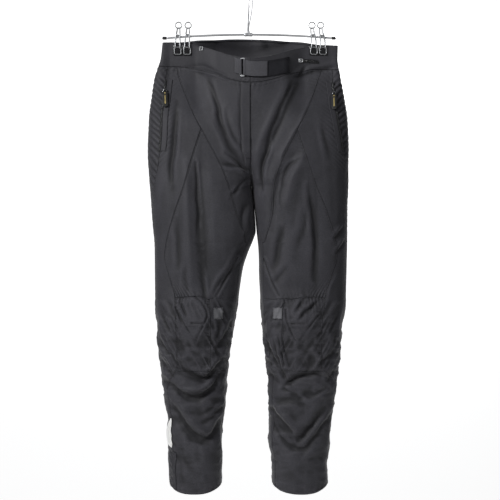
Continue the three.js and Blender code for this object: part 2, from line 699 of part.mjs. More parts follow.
function addTab() {
  const half = TAB.ringWide / 2;
  const strapStart = TAB.ringX + half + 0.4;
  const loopStart = TAB.ringX + half + 5;
  // The tab runs straight on where the band rises, so its far end lies lower on the band
  const rectangle = (x0, x1, z0, z1) => (s, t) => {
    const x = mix(x0, x1, s);
    return [x, mix(z0, z1, t) - TAB.drop * (x - TAB.ringX) / (TAB.loopEnd - TAB.ringX)];
  };
  add('loop_tape', frontOverlay(rectangle(loopStart, TAB.loopEnd, TAB.top + 1, TAB.foot - 1), { columns: 12, rows: 2, low: 0.7, thick: 1.2 }), 'loopTape');
  add('tab_strap', frontOverlay(rectangle(strapStart, TAB.end, TAB.top, TAB.foot), { columns: 5, rows: 2, low: 2.4, thick: 1.9 }), 'webbing');
  add('ring_anchor', frontOverlay(rectangle(TAB.ringX - half - 12, TAB.ringX - half - 0.4, TAB.top, TAB.foot), { columns: 2, rows: 2, low: 0.6, thick: 2.4 }), 'cloth');
  const outline = new THREE.Shape();
  const w = TAB.ringWide / 2;
  const h = TAB.ringTall / 2;
  outline.moveTo(-w, -h).lineTo(w, -h).lineTo(w, h).lineTo(-w, h).closePath();
  const hole = new THREE.Path();
  const iw = w - TAB.ringWire;
  const ih = h - TAB.ringWire;
  hole.moveTo(-iw, -ih).lineTo(iw, -ih).lineTo(iw, ih).lineTo(-iw, ih).closePath();
  outline.holes.push(hole);
  const ring = add('tab_ring', new THREE.ExtrudeGeometry(outline, { depth: TAB.ringWire, bevelEnabled: false }), 'chrome');
  seat(ring, TAB.ringX, mix(TAB.top, TAB.foot, 0.5), 1.1);
}

// Puts a mesh on the front of the waist: its x across, y up the cloth and z outwards
function seat(mesh, x, z, lift) {
  const [leg, w] = frontPlace(x, z);
  place(mesh, leg, w, z, lift);
}

function place(mesh, leg, w, z, lift) {
  const out = normalAt(leg, w, z);
  const across = new THREE.Vector3(0, 0, 1).cross(out).normalize();
  const up = out.clone().cross(across);
  mesh.quaternion.setFromRotationMatrix(new THREE.Matrix4().makeBasis(across, up, out));
  mesh.position.copy(surfacePoint(leg, w, z).addScaledVector(out, lift));
}

// Waist adjusters: a short strap with a metal slide on one side, and the slide alone on the other
function addAdjusters() {
  const webbing = (s, t) => [mix(119, 154, s) + (t - 0.5), mix(mix(-155, -163, s), mix(-163, -171, s), t)];
  add('adjuster_strap', frontOverlay(webbing, { columns: 8, rows: 1, low: 0.9, thick: 1.2 }), 'zipTape');
  for (const [name, x, z] of [['adjuster_slide_left', 113, -157], ['adjuster_slide_right', -109, -133]]) {
    const slide = (s, t) => [x + mix(-4, 4, s), z + mix(3.5, -3.5, t)];
    add(name, frontOverlay(slide, { columns: 3, rows: 1, low: 0.9, thick: 1.8 }), 'chrome');
  }
}

// Pocket: zip along the side seam, a welt beside it, a slider and its hinged pull
const PULL = { wide: 11, long: 44, thick: 1.8, barRadius: 0.8, eyeInner: 1.15, eyeOuter: 2.1, eyeWide: 4, barLift: 5.2 };

function addPocket(side) {
  const leg = LEGS[side];
  const seam = (z) => turnAt(leg.sideSeam(z));
  const { top, foot, weltWide, zipHalf } = POCKET;
  const off = (distance) => (z) => shifted(leg, seam(z), z, distance);
  add(`${side}_pocket_zip`, strip(leg, { top, foot, from: off(-zipHalf), to: off(zipHalf), columns: 2, low: 0.6, thick: 1.4 }), 'zipTape');
  add(`${side}_pocket_welt`, strip(leg, { top, foot, from: off(zipHalf + 0.4), to: off(weltWide), columns: 1, low: 0.6 }), 'cloth');

  const w = seam(POCKET.slider);
  const holder = new THREE.Group();
  place(holder, leg, w, POCKET.slider, 2.4);
  drawing.add(holder);
  const { barLift, barRadius, eyeWide, eyeOuter, eyeInner } = PULL;
  const base = new THREE.BoxGeometry(8, 11, 1.8).translate(0, 0, 0.9);
  const ear = (x) => new THREE.BoxGeometry(1, 3, barLift).translate(x, 0, barLift / 2 + 0.4);
  const bar = new THREE.CylinderGeometry(barRadius, barRadius, eyeWide + 2, 8).rotateZ(Math.PI / 2).translate(0, 0, barLift);
  const earX = eyeWide / 2 + 0.9;
  add(`${side}_pocket_slider`, joined(base, ear(-earX), ear(earX), bar), 'chrome', holder);
  const halfEye = eyeWide / 2;
  const ringOutline = [[eyeInner, -halfEye], [eyeOuter, -halfEye], [eyeOuter, halfEye], [eyeInner, halfEye], [eyeInner, -halfEye]];
  const eye = new THREE.LatheGeometry(ringOutline.map(([r, h]) => new THREE.Vector2(r, h)), 12).rotateZ(Math.PI / 2);
  const neck = new THREE.BoxGeometry(eyeWide, 4, PULL.thick).translate(0, -eyeInner - 2.2, 0);
  const tab = new THREE.BoxGeometry(PULL.wide, PULL.long - 5, PULL.thick).translate(0, -4 - (PULL.long - 5) / 2, 0);
  const pull = joined(eye, neck, tab).translate(0, 0, barLift);
  add(`${side}_pocket_pull`, pull, 'rubber', holder);
}

// Knee tape squares, reflective patches and ankle plackets
const KNEE_TAPE = { wide: 20, tall: 24, level: -730, right: -70, left: 62 };
const ANKLE = { placketTop: -1032, placketWide: 11, patchTop: -962, patchFoot: -1024, patchWide: 46 };

function addTrim(side) {
  const leg = LEGS[side];
  const seam = (z) => turnAt(leg.sideSeam(z));
  const x = KNEE_TAPE[side];
  const square = (s, t) => {
    const z = mix(KNEE_TAPE.level + KNEE_TAPE.tall / 2, KNEE_TAPE.level - KNEE_TAPE.tall / 2, t);
    return [frontPlace(mix(x - KNEE_TAPE.wide / 2, x + KNEE_TAPE.wide / 2, s), z)[1], z];
  };
  add(`${side}_knee_tape`, overlay(leg, square, { columns: 2, rows: 2, low: 0.9 }), 'hookTape');
  const patch = (s, t) => {
    const z = mix(ANKLE.patchTop, ANKLE.patchFoot, t);
    const wide = mix(3, ANKLE.patchWide, t);
    return [shifted(leg, seam(z), z, mix(-wide - 1, -1, s)), z];
  };
  add(`${side}_reflective_patch`, overlay(leg, patch, { columns: 4, rows: 4, low: 0.8, thick: 0.8 }), 'reflector');
  const placket = (s, t) => {
    const z = mix(ANKLE.placketTop, LEVEL.hem + 1, t);
    return [shifted(leg, seam(z), z, mix(1, ANKLE.placketWide, s)), z];
  };
  add(`${side}_ankle_placket`, overlay(leg, placket, { columns: 1, rows: 5, low: 0.7 }), 'cloth');
}

// Hanger: rod with rubber ends, saddle, hook, and four spring clips
const HOOK = { radius: 20, wire: 2 };

// Level of the rod's axis, which bows up in the middle
function bow(x) {
  const centre = (ROD.left + ROD.right) / 2;
  return mix(ROD.middle, ROD.ends, ((x - centre) / (ROD.right - centre)) ** 2);
}

function addHanger() {
  const { left, right, ends, radius } = ROD;
  const rodPoints = [0, 0.17, 0.33, 0.5, 0.67, 0.83, 1].map((t) => {
    const x = mix(left, right, t);
    return [x, 0, bow(x)];
  });
  add('rod', wire(smoothCurve(rodPoints), radius, 12, 8), 'chrome');
  for (const [name, x, way] of [['rod_end_right', left, -1], ['rod_end_left', right, 1]]) {
    const cap = new THREE.CylinderGeometry(3.4, 3.4, 10, 10).rotateZ(Math.PI / 2);
    add(name, cap, 'rubber').position.set(x + way * 5.4, 0, ends);
  }
  const saddleX = -4;
  const sleeve = new THREE.Shape().absarc(0, 0, radius + 1.7, 0, 2 * Math.PI);
  sleeve.holes.push(new THREE.Path().absarc(0, 0, radius + 0.35, 0, 2 * Math.PI));
  const tube = new THREE.ExtrudeGeometry(sleeve, { depth: 18, bevelEnabled: false, curveSegments: 6 })
    .translate(0, 0, -9).rotateY(Math.PI / 2);
  const boss = new THREE.CylinderGeometry(3, 4, 5, 8).rotateX(Math.PI / 2).translate(0, 0, radius + 3.6);
  add('hook_saddle', joined(tube, boss), 'chrome').position.set(saddleX, 0, bow(saddleX));
  const top = HANG_HEIGHT + HOOK.wire - HOOK.radius;
  const footZ = bow(saddleX) + radius + 6.5;
  const stem = [[saddleX, 0, footZ], [-2.8, 0, -85], [1, 0, -66], [3.6, 0, -48], [5.2, 0, -30], [10.5, 0, -16], [17.4, 0, -8.5]];
  const crown = [0, 30, 60, 90, 120, 150, 180, 205, 225].map((degrees) => {
    const angle = (degrees * Math.PI) / 180;
    return [HOOK.radius * Math.cos(angle), 0, top + HOOK.radius * Math.sin(angle)];
  });
  add('hook', wire(smoothCurve([...stem, ...crown]), HOOK.wire, 40, 8), 'chrome');
  for (const clip of CLIPS) addClip(clip);
}

function addClip({ name, x, lean }) {
  const clip = new THREE.Group();
  clip.position.x = x;
  drawing.add(clip);
  const ringRadius = 7;
  const ringLevel = -86;
  const rodClear = ROD.radius + 1.6;
  const jawY = BAND_WALL + 0.25 + 0.5;
  const ringX = lean;
  const legTop = ringLevel - ringRadius + 1;
  const leg = (side, face) => wire(smoothCurve([
    [ringX + side * 2.6, face * 1.2, legTop],
    [ringX * 0.7 + side * 3.6, face * rodClear, legTop - 10],
    [ringX * 0.4 + side * 4.2, face * (rodClear + 1.4), -108],
    [side * 5, face * (rodClear + 1.6), -122],
    [side * 5.4, face * (jawY + JAW.thick + 1.2), JAW.top - 4],
  ]), 1, 6, 6);
  const ring = new THREE.TorusGeometry(ringRadius, 1.5, 6, 14).rotateX(Math.PI / 2).rotateX(Math.PI / 2)
    .rotateX(Math.PI / 2).translate(ringX, 0, ringLevel);
  const neck = new THREE.BoxGeometry(8, 4.4, 3).translate(ringX, 0, legTop - 0.5);
  const carrier = new THREE.BoxGeometry(11, 2 * rodClear + 2, 2.4)
    .translate(ringX * 0.5, 0, bow(x) + ROD.radius + 0.55 + 1.2);
  const legs = [leg(-1, -1), leg(1, -1), leg(-1, 1), leg(1, 1)];
  add(`${name}_spring`, joined(ring, neck, carrier, ...legs), 'chrome', clip);
  for (const [face, word] of [[-1, 'front'], [1, 'back']]) {
    const jaw = new THREE.BoxGeometry(JAW.width, JAW.thick, JAW.top - JAW.foot)
      .translate(0, face * (jawY + JAW.thick / 2), (JAW.top + JAW.foot) / 2);
    add(`${name}_jaw_${word}`, jaw, 'rubber', clip);
  }
}

addHanger();
addWaistband();
for (const side of ['right', 'left']) {
  addLeg(side);
  addPocket(side);
  addTrim(side);
}
addFly();
addTab();
addAdjusters();

const trousers = new THREE.Group();
trousers.add(drawing);
export default trousers;
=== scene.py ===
"""Looks of the motorcycle trousers on their clip hanger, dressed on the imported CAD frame.

The cloth follows the same sections, seams and folds as the CAD solids, at a finer step, with
its smaller creases, puckers, seams and stitches added. Everything is worked out in millimetres
in the drawing's frame, +Z up and the front facing -Y, and changed to the row's metres at the end.
A place on a leg is a turn w and a level z: w is 0 at the outer side, 0.5 at the front's middle,
1 at the centre or inner leg, and negative round the back.
"""
import json
import math

import bmesh
import bpy
import numpy as np
from mathutils import Matrix, Vector


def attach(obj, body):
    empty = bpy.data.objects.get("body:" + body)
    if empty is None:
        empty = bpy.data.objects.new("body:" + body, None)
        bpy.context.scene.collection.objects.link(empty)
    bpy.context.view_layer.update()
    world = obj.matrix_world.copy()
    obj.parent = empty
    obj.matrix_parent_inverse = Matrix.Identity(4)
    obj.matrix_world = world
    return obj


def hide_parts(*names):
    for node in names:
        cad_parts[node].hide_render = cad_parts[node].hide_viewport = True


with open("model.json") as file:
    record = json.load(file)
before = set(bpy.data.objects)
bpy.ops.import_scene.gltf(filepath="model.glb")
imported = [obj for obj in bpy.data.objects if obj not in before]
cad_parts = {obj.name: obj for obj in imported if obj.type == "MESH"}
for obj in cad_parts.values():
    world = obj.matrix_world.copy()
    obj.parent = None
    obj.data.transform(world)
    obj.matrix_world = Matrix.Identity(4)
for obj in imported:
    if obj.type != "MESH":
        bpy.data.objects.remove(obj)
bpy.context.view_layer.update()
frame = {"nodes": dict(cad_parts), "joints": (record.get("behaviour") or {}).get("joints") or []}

DROP = 21.5  # the hook's inside top above the drawing's zero, mm
MM = 0.001
FRONT_STEP, BACK_STEP = 2.4, 3.6  # cloth mesh cells, mm

WALL, BAND_WALL = 1.6, 2.2
SEAM_GAP = 0.08  # seams close up between the finished pieces
SQUARE = 0.82  # exponent of the section's curve

BAND_TOP, WAIST_SEAM, FORK_TOP, CROTCH, GUSSET_END = -128, -183, -322, -452, -575
KNEE_TOP, KNEE_END, SIDE_END, HEM = -697, -858, -896, -1113

# z, outer edge, inner edge of each leg seen from the front
OUTLINE = {
    "right": [
        (-128, -197, 2), (-164, -201, 2), (-187, -208, 2), (-209, -215, 2), (-254, -222, 2),
        (-299, -228.5, 2), (-366, -231, 2), (-434, -226, 3), (-501, -221.6, 10), (-549, -218, 13),
        (-569, -216, 7), (-592, -215, -3), (-637, -215, -17), (-704, -212.6, -27),
        (-749, -210, -34), (-794, -205, -41.6), (-839, -200, -49.5), (-884, -197, -53),
        (-929, -190, -57), (-974, -183.5, -62), (-1019, -183, -65), (-1064, -182, -64),
        (-1121, -180, -64),
    ],
    "left": [
        (-128, 198, 2), (-164, 197, 2), (-187, 201.5, 2), (-209, 205, 2), (-254, 213, 2),
        (-299, 219.5, 2), (-366, 221.6, 2), (-434, 221.6, 3), (-501, 219.4, 10),
        (-549, 217.5, 14.6), (-592, 217, 19), (-659, 215, 21.4), (-704, 213.8, 23.6),
        (-749, 208, 26), (-794, 203.6, 30), (-839, 199, 36), (-884, 194.6, 39.4),
        (-929, 188, 41.6), (-974, 180, 43), (-1019, 176.6, 44), (-1064, 172, 49.5),
        (-1121, 173.5, 50),
    ],
}
# z, front and back at a leg's middle, front and back at the centre, split into two round legs
DEPTH = [
    (-128, 22, 24, 42, 44, 0), (-183, 34, 38, 46, 50, 0), (-250, 47, 52, 54, 60, 0),
    (-310, 56, 64, 58, 68, 0.1), (-366, 62, 72, 54, 66, 0.45), (-410, 66, 76, 38, 46, 0.85),
    (-436, 68, 77, 18, 21, 1), (-452, 69, 78, 0, 0, 1), (-501, 71, 78, 0, 0, 1),
    (-592, 70, 72, 0, 0, 1), (-670, 68, 64, 0, 0, 1), (-697, 71, 61, 0, 0, 1),
    (-750, 76, 56, 0, 0, 1), (-830, 70, 56, 0, 0, 1), (-884, 60, 60, 0, 0, 1),
    (-974, 55, 60, 0, 0, 1), (-1060, 56, 57, 0, 0, 1), (-1121, 58, 56, 0, 0, 1),
]
# Seams: z and share of a leg's width from its outer edge
DIAGONAL_SEAM = [
    (-183, 0.2), (-211, 0.262), (-294, 0.46), (-322, 0.53), (-400, 0.7), (-450, 0.775),
    (-513, 0.825), (-575, 0.93),
]
THIGH_SEAM = [
    (-322, 0.53), (-372, 0.464), (-449, 0.351), (-515, 0.228), (-580, 0.135), (-604, 0.125),
    (-646, 0.183), (-697, 0.262), (-770, 0.276), (-846, 0.27),
]
KNEE_SEAM = {"right": [(-697, 0.67), (-770, 0.71), (-858, 0.757)],
             "left": [(-697, 0.738), (-770, 0.757), (-858, 0.79)]}
SIDE_SEAM = {
    "right": [(-128, 0), (-183, 0.11), (-228, 0.131), (-337, 0.146), (-400, 0.12), (-449, 0.06),
              (-592, 0.01), (-770, 0.03), (-896, 0.09), (-1121, 0.1)],
    "left": [(-128, 0), (-183, 0.08), (-222, 0.104), (-281, 0.122), (-353, 0.085), (-449, 0.02),
             (-592, 0), (-770, -0.02), (-896, -0.05), (-1121, -0.06)],
}
INNER_SEAM = {
    "right": [(-452, 1), (-520, 0.985), (-592, 0.95), (-704, 0.97), (-860, 1), (-1121, 1.05)],
    "left": [(-452, 1), (-520, 0.985), (-592, 0.95), (-704, 0.955), (-860, 0.94), (-1121, 0.94)],
}
FLY = {"top": -186, "foot": -386, "edge": 2,
       "width": [(-184, 21), (-340, 20), (-376, 15), (-398, 8), (-520, 9), (-575, 12.6)]}
POCKET = {"top": -213, "foot": -374, "welt": 15, "zip_half": 3, "slider": -240}
PINCH = {"x": 152, "flat": 27, "fade": 52, "loose": 26, "hold": 0.62, "full": -168, "free": -318}
DIP = {"front": -38, "back": 18, "half_width": 160, "free": -430}
TILT, HEM_DROP = 0.018, 16

# Main folds, as in the CAD solids apart from three softer ones: face, height, width, path of (x, z)
MAIN_FOLDS = [
    ("front", -5, 17, [(-93, -223), (-82, -258), (-60, -317), (-36, -368), (-6, -412)]),
    ("front", -7, 18, [(106, -223), (78, -280), (49, -346), (30, -394), (21, -452)]),
    ("front", 4, 20, [(84, -222), (54, -285), (26, -350), (12, -400)]),
    ("front", -7, 16, [(96, -385), (67, -427), (52, -482), (45, -548)]),
    ("front", 6, 24, [(118, -380), (100, -420), (84, -480)]),
    ("front", -7, 18, [(-112, -416), (-108, -482), (-104, -550), (-97, -694)]),
    ("front", 5, 22, [(-140, -400), (-138, -500), (-132, -600), (-125, -690)]),
    ("front", -5, 17, [(-161, -262), (-168, -340), (-174, -405), (-170, -460)]),
    ("front", -4, 20, [(70, -545), (60, -590), (54, -640)]),
    ("front", -4, 20, [(144, -438), (146, -560), (143, -679)]),
    ("front", -8, 15, [(-157, -846), (-130, -862), (-102, -876), (-76, -858)]),
    ("front", -8, 16, [(-176, -884), (-141, -918), (-112, -920), (-82, -896), (-58, -856)]),
    ("front", 6, 16, [(-160, -872), (-132, -893), (-105, -897), (-78, -878)]),
    ("front", -7, 17, [(-162, -945), (-130, -990), (-102, -1014), (-80, -997), (-64, -960)]),
    ("front", 5, 16, [(-152, -934), (-126, -966), (-102, -988), (-80, -972)]),
    ("front", -9, 15, [(41, -815), (60, -859), (80, -884), (111, -870), (150, -860)]),
    ("front", -7, 16, [(41, -864), (78, -896), (111, -914), (146, -898)]),
    ("front", -7, 17, [(45, -947), (71, -988), (100, -1019), (128, -993), (166, -938)]),
    ("front", 5, 16, [(50, -925), (74, -962), (100, -992), (126, -968), (156, -915)]),
    ("back", -7, 20, [(-108, -470), (-70, -500), (-20, -520)]),
    ("back", -7, 20, [(100, -462), (66, -498), (34, -524)]),
    ("back", -8, 18, [(-185, -700), (-120, -722), (-50, -706)]),
    ("back", -7, 18, [(-180, -762), (-125, -746), (-60, -768)]),
    ("back", -8, 18, [(188, -704), (122, -724), (48, -702)]),
    ("back", -7, 18, [(184, -770), (118, -750), (50, -764)]),
    ("back", -6, 20, [(-150, -250), (-142, -380), (-130, -450)]),
    ("back", -6, 20, [(146, -256), (138, -372), (128, -446)]),
    ("back", -6, 18, [(-160, -900), (-118, -930), (-78, -905)]),
    ("back", -6, 18, [(160, -905), (115, -935), (62, -905)]),
]
# Knee protectors under the cloth: face, x, z, half width, half height, height
SWELLINGS = [("front", -125, -752, 46, 62, 9), ("front", 112, -752, 46, 62, 9)]

# Creases too fine for the solids: height, width, ridge beside the trough (its side), path
CREASES = {
    "front": [
        (-1.8, 6, 1, [(-93, -212), (-77, -262), (-65, -300), (-52, -338)]),
        (-2.0, 8, -1, [(-162, -287), (-166, -363), (-176, -441)]),
        (-2.2, 7, 1, [(-137, -178), (-102, -184), (-65, -203), (-46, -212)]),
        (-1.8, 8, 1, [(-52, -287), (-40, -338), (-15, -369)]),
        (-1.6, 8, 1, [(-72, -292), (-62, -331), (-42, -370), (-16, -403)]),
        (-2.8, 6, 1, [(-58, -403), (-27, -407), (-4, -416)]),
        (-2.4, 6, 1, [(-52, -378), (-21, -403), (-4, -414)]),
        (-2.4, 6, 1, [(-36, -466), (-21, -447), (-3, -434)]),
        (-1.8, 7, 1, [(-6, -446), (-22, -458), (-40, -474)]),
        (-3.2, 5, -1, [(-118, -400), (-115, -501), (-109, -570), (-105, -632)]),
        (-2.0, 6, -1, [(-105, -632), (-104, -664), (-101, -692)]),
        (-1.8, 10, 1, [(-156, -526), (-158, -580), (-156, -632)]),
        (-1.0, 9, 1, [(-137, -617), (-140, -663), (-137, -696)]),
        (-1.6, 7, 1, [(-19, -588), (-42, -627), (-65, -663), (-80, -694)]),
        (-1.5, 7, 1, [(-23, -617), (-45, -644), (-62, -670)]),
        (-1.8, 8, -1, [(-8, -487), (-16, -513), (-16, -545)]),
        (-1.8, 6, -1, [(95, -218), (76, -262), (51, -319), (36, -363)]),
        (-2.4, 7, -1, [(42, -356), (26, -413), (25, -460)]),
        (1.8, 9, 0, [(141, -240), (115, -292), (88, -351), (66, -397), (49, -439)]),
        (-1.8, 6, 1, [(111, -394), (86, -407), (72, -435), (68, -491)]),
        (1.0, 8, 0, [(124, -404), (101, -419), (88, -446), (84, -488)]),
        (-2.4, 8, 1, [(130, -454), (139, -526), (142, -657)]),
        (-1.5, 12, 1, [(131, -484), (121, -533), (101, -591)]),
        (-1.4, 11, 1, [(70, -551), (61, -595), (48, -632)]),
        (-1.2, 9, 1, [(80, -628), (61, -652), (53, -666)]),
        (-1.4, 9, 1, [(160, -318), (170, -357), (177, -390)]),
        (-2.0, 5, 1, [(208, -538), (186, -566)]),
        (-2.0, 5, 1, [(209, -566), (189, -598)]),
        (1.3, 8, 0, [(191, -640), (177, -673), (168, -715)]),
        (-2.2, 7, 1, [(189, -181), (150, -190), (111, -203)]),
        (-1.8, 6, 1, [(126, -181), (104, -206)]),
        (-1.4, 3, 0, [(-21, -224), (-21, -330), (-17, -372), (-9, -400)]),
        (-3.8, 6, -1, [(-146, -852), (-105, -869), (-83, -859), (-62, -836)]),
        (-2.6, 5.5, -1, [(-155, -862), (-117, -877), (-91, -872), (-62, -849)]),
        (-3.6, 6, -1, [(-178, -878), (-149, -906), (-127, -914), (-102, -906), (-83, -891), (-67, -868)]),
        (-1.8, 5, 1, [(-163, -882), (-137, -892), (-114, -888)]),
        (-3.8, 6, -1, [(-171, -928), (-149, -960), (-130, -988), (-102, -1005), (-83, -999), (-65, -972)]),
        (-2.0, 6, -1, [(-163, -960), (-137, -998), (-114, -1016), (-91, -1017)]),
        (-2.0, 5, 1, [(-114, -957), (-88, -942), (-62, -919)]),
        (-1.8, 5, 1, [(-107, -973), (-81, -957), (-62, -937)]),
        (-2.4, 7, 1, [(-40, -751), (-58, -784), (-78, -812)]),
        (-2.0, 6, 1, [(-53, -820), (-68, -843), (-82, -862)]),
        (-1.8, 6, 1, [(-68, -745), (-67, -767), (-75, -787)]),
        (-1.6, 8, 1, [(-163, -1035), (-153, -1065), (-147, -1104)]),
        (-1.4, 9, 1, [(-147, -1042), (-137, -1065), (-114, -1080)]),
        (-2.2, 6, 1, [(-192, -800), (-176, -822), (-160, -838)]),
        (-1.8, 6, 1, [(-190, -842), (-174, -862), (-158, -880)]),
        (-1.8, 8, -1, [(108, -806), (130, -822), (139, -838), (132, -852), (112, -864), (86, -876)]),
        (-2.0, 4, 1, [(146, -812), (158, -830), (150, -852), (128, -872)]),
        (-2.8, 5, 1, [(42, -805), (61, -839), (76, -867), (101, -905)]),
        (-2.0, 4, 1, [(51, -787), (59, -820), (74, -856)]),
        (-2.0, 4, 1, [(61, -777), (69, -810), (80, -852)]),
        (-1.8, 4, 1, [(70, -781), (77, -810), (86, -849)]),
        (-2.0, 5, 1, [(41, -774), (45, -810), (60, -849)]),
        (-3.2, 5.5, -1, [(77, -890), (101, -872), (137, -864), (170, -872)]),
        (2.4, 6, 0, [(39, -852), (66, -885), (98, -905), (128, -923), (157, -908), (182, -888)]),
        (-2.8, 6, -1, [(122, -914), (145, -908), (166, -896)]),
        (-3.4, 6, -1, [(50, -944), (76, -972), (104, -1004)]),
        (-3.6, 6, -1, [(48, -969), (70, -1007), (92, -1022), (120, -1026), (142, -1004), (177, -950)]),
        (-2.6, 5, 1, [(108, -1010), (136, -979), (164, -944)]),
        (-1.6, 6, 1, [(106, -1050), (121, -1035), (140, -1023)]),
        (-1.6, 10, 1, [(62, -927), (88, -921), (115, -937)]),
        (-1.8, 6, 1, [(186, -806), (168, -828), (150, -840)]),
        (-1.8, 6, 1, [(190, -850), (176, -868), (166, -884)]),
        (-2.4, 5, 1, [(116, -703), (110, -715), (100, -730)]),
        (-2.6, 5, 1, [(146, -707), (124, -724), (106, -742)]),
        (-2.2, 4.5, 1, [(-151, -706), (-144, -720), (-136, -734)]),
        (-1.6, 4, 1, [(-158, -726), (-150, -742), (-140, -760)]),
    ],
    "back": [
        (-2.6, 7, 1, [(-190, -684), (-140, -698), (-82, -690), (-44, -700)]),
        (-2.6, 7, -1, [(-186, -724), (-132, -738), (-70, -728), (-50, -738)]),
        (-2.4, 7, 1, [(-176, -790), (-128, -772), (-66, -784)]),
        (-2.4, 7, 1, [(194, -690), (136, -700), (84, -688), (44, -704)]),
        (-2.6, 7, -1, [(188, -728), (134, -742), (76, -730), (50, -742)]),
        (-2.4, 7, 1, [(182, -796), (124, -776), (58, -790)]),
        (-2.6, 8, 1, [(-120, -452), (-72, -482), (-24, -500)]),
        (-2.4, 8, 1, [(-100, -500), (-60, -528), (-14, -548)]),
        (-2.6, 8, 1, [(112, -446), (72, -480), (32, -506)]),
        (-2.4, 8, 1, [(96, -498), (62, -526), (36, -556)]),
        (-2.4, 9, 1, [(-62, -232), (-70, -300), (-66, -380)]),
        (-2.4, 9, 1, [(70, -236), (74, -310), (66, -388)]),
        (-2.4, 8, 1, [(-168, -560), (-150, -600), (-128, -650)]),
        (-2.4, 8, 1, [(176, -556), (158, -606), (132, -652)]),
        (-3.0, 7, -1, [(-172, -866), (-126, -886), (-74, -868)]),
        (-3.0, 7, -1, [(-166, -936), (-122, -962), (-76, -944)]),
        (-2.8, 7, -1, [(-170, -1000), (-126, -1018), (-78, -1006)]),
        (-3.0, 7, -1, [(176, -872), (120, -890), (56, -870)]),
        (-3.0, 7, -1, [(168, -942), (118, -966), (58, -946)]),
        (-2.8, 7, -1, [(166, -1004), (114, -1022), (60, -1010)]),
    ],
}
CREASE_GAIN = 1.8
# Sewn lines across the padded knee panels, and up the inside of each thigh
QUILTING = [
    [(-74, -692), (-62, -672), (-46, -642), (-27, -608)], [(64, -690), (52, -670), (41, -644), (30, -612)],
    [(-121, -697), (-102, -711), (-93.5, -733), (-102, -755), (-119.5, -792)],
    [(-163, -718), (-142, -752), (-120.5, -787)], [(-127, -751), (-104, -751)],
    [(78, -722), (82, -748), (103, -789), (127, -760), (147, -735)], [(88, -752), (118, -752)],
]

# Cloth along a panel's edges: puckers' height, pitch, reach and slant, the distances of its stitch
# rows, and from where to where along the edge the puckers are strong
EDGES = {
    "plain": (0.35, 9, 6, 0.35, (), (0, 2000)),
    "sewn": (0.5, 8, 8, 0.35, (2.8,), (0, 2000)),
    "quiet": (0.05, 9, 4, 0.2, (), (0, 2000)),
    "knee": (0.7, 7, 9, 0.15, (3.0,), (0, 2000)),
    "gathered": (2.0, 7, 17, 0.25, (3.2,), (4, 96)),
    "pocket": (1.5, 13, 15, 0.9, (), (28, 235)),
    "pocket_back": (2.6, 14, 30, 0.9, (), (28, 300)),
    "waist": (0.7, 11, 9, 0.1, (3.0, 8.5), (0, 2000)),
    "hem": (0.5, 12, 14, 0.1, (6, 24), (0, 2000)),
    "band_top": (0.3, 14, 8, 0.1, (3.2,), (0, 2000)),
    "band_foot": (0.4, 11, 9, 0.1, (3.4,), (0, 2000)),
}
EDGE_NAMES = ("left", "right", "top", "foot")
# Which distances run along each edge
ALONG = {"left": "top", "right": "top", "top": "left", "foot": "left"}


def mix(a, b, t):
    return a + (b - a) * t


def ease(t):
    c = np.clip(t, 0, 1)
    return c * c * (3 - 2 * c)


def curve(rows, column=1):
    """A smooth curve through one column of a table whose rows go down in z, without overshoot."""
    z = np.array([row[0] for row in rows[::-1]], float)
    v = np.array([row[column] for row in rows[::-1]], float)
    slope = np.diff(v) / np.diff(z)
    tangent = np.zeros_like(v)
    tangent[0], tangent[-1] = slope[0], slope[-1]
    product = slope[:-1] * slope[1:]
    total = np.where(product > 0, slope[:-1] + slope[1:], 1)
    tangent[1:-1] = np.where(product > 0, 2 * product / total, 0)

    def at(level):
        level = np.clip(np.asarray(level, float), z[0], z[-1])
        i = np.clip(np.searchsorted(z, level, side="right") - 1, 0, len(z) - 2)
        step = z[i + 1] - z[i]
        t = (level - z[i]) / step
        a, b, c = 2 * t**3 - 3 * t**2 + 1, t**3 - 2 * t**2 + t, t**3 - t**2
        return a * v[i] + b * step * tangent[i] + (1 - a) * v[i + 1] + c * step * tangent[i + 1]

    return at


class Leg:
    def __init__(self, side, turn):
        self.side, self.turn = side, turn
        self.gap = -turn * SEAM_GAP / 2
        self.outer, self.inner = curve(OUTLINE[side], 1), curve(OUTLINE[side], 2)
        self.side_share, self.inner_share = curve(SIDE_SEAM[side]), curve(INNER_SEAM[side])
        self.knee_share = curve(KNEE_SEAM[side])


LEGS = {"right": Leg("right", 1), "left": Leg("left", -1)}
front_depth, back_depth = curve(DEPTH, 1), curve(DEPTH, 2)
centre_front_depth, centre_back_depth = curve(DEPTH, 3), curve(DEPTH, 4)
split = curve(DEPTH, 5)


def pinch(x, z):
    """How closely front and back are held together near the clips, from 0 to 1."""
    beyond = np.abs(x) - PINCH["x"]
    outside = mix(1, PINCH["hold"], ease((beyond - PINCH["flat"]) / PINCH["loose"]))
    inside = 1 - ease((-beyond - PINCH["flat"]) / PINCH["fade"])
    across = np.where(beyond > PINCH["flat"], outside, inside)
    return across * (1 - ease((PINCH["full"] - z) / (PINCH["full"] - PINCH["free"])))


def waist_fade(z):
    """How strongly the waist's dip and tilt still act at a level, from 1 at its seam to 0."""
    return 1 - ease((WAIST_SEAM - z) / (WAIST_SEAM - DIP["free"]))


def waist_share(x):
    """The share of the waist's dip at a distance from the centre."""
    return np.cos(np.pi / 2 * np.clip(np.abs(x) / DIP["half_width"], 0, 1))


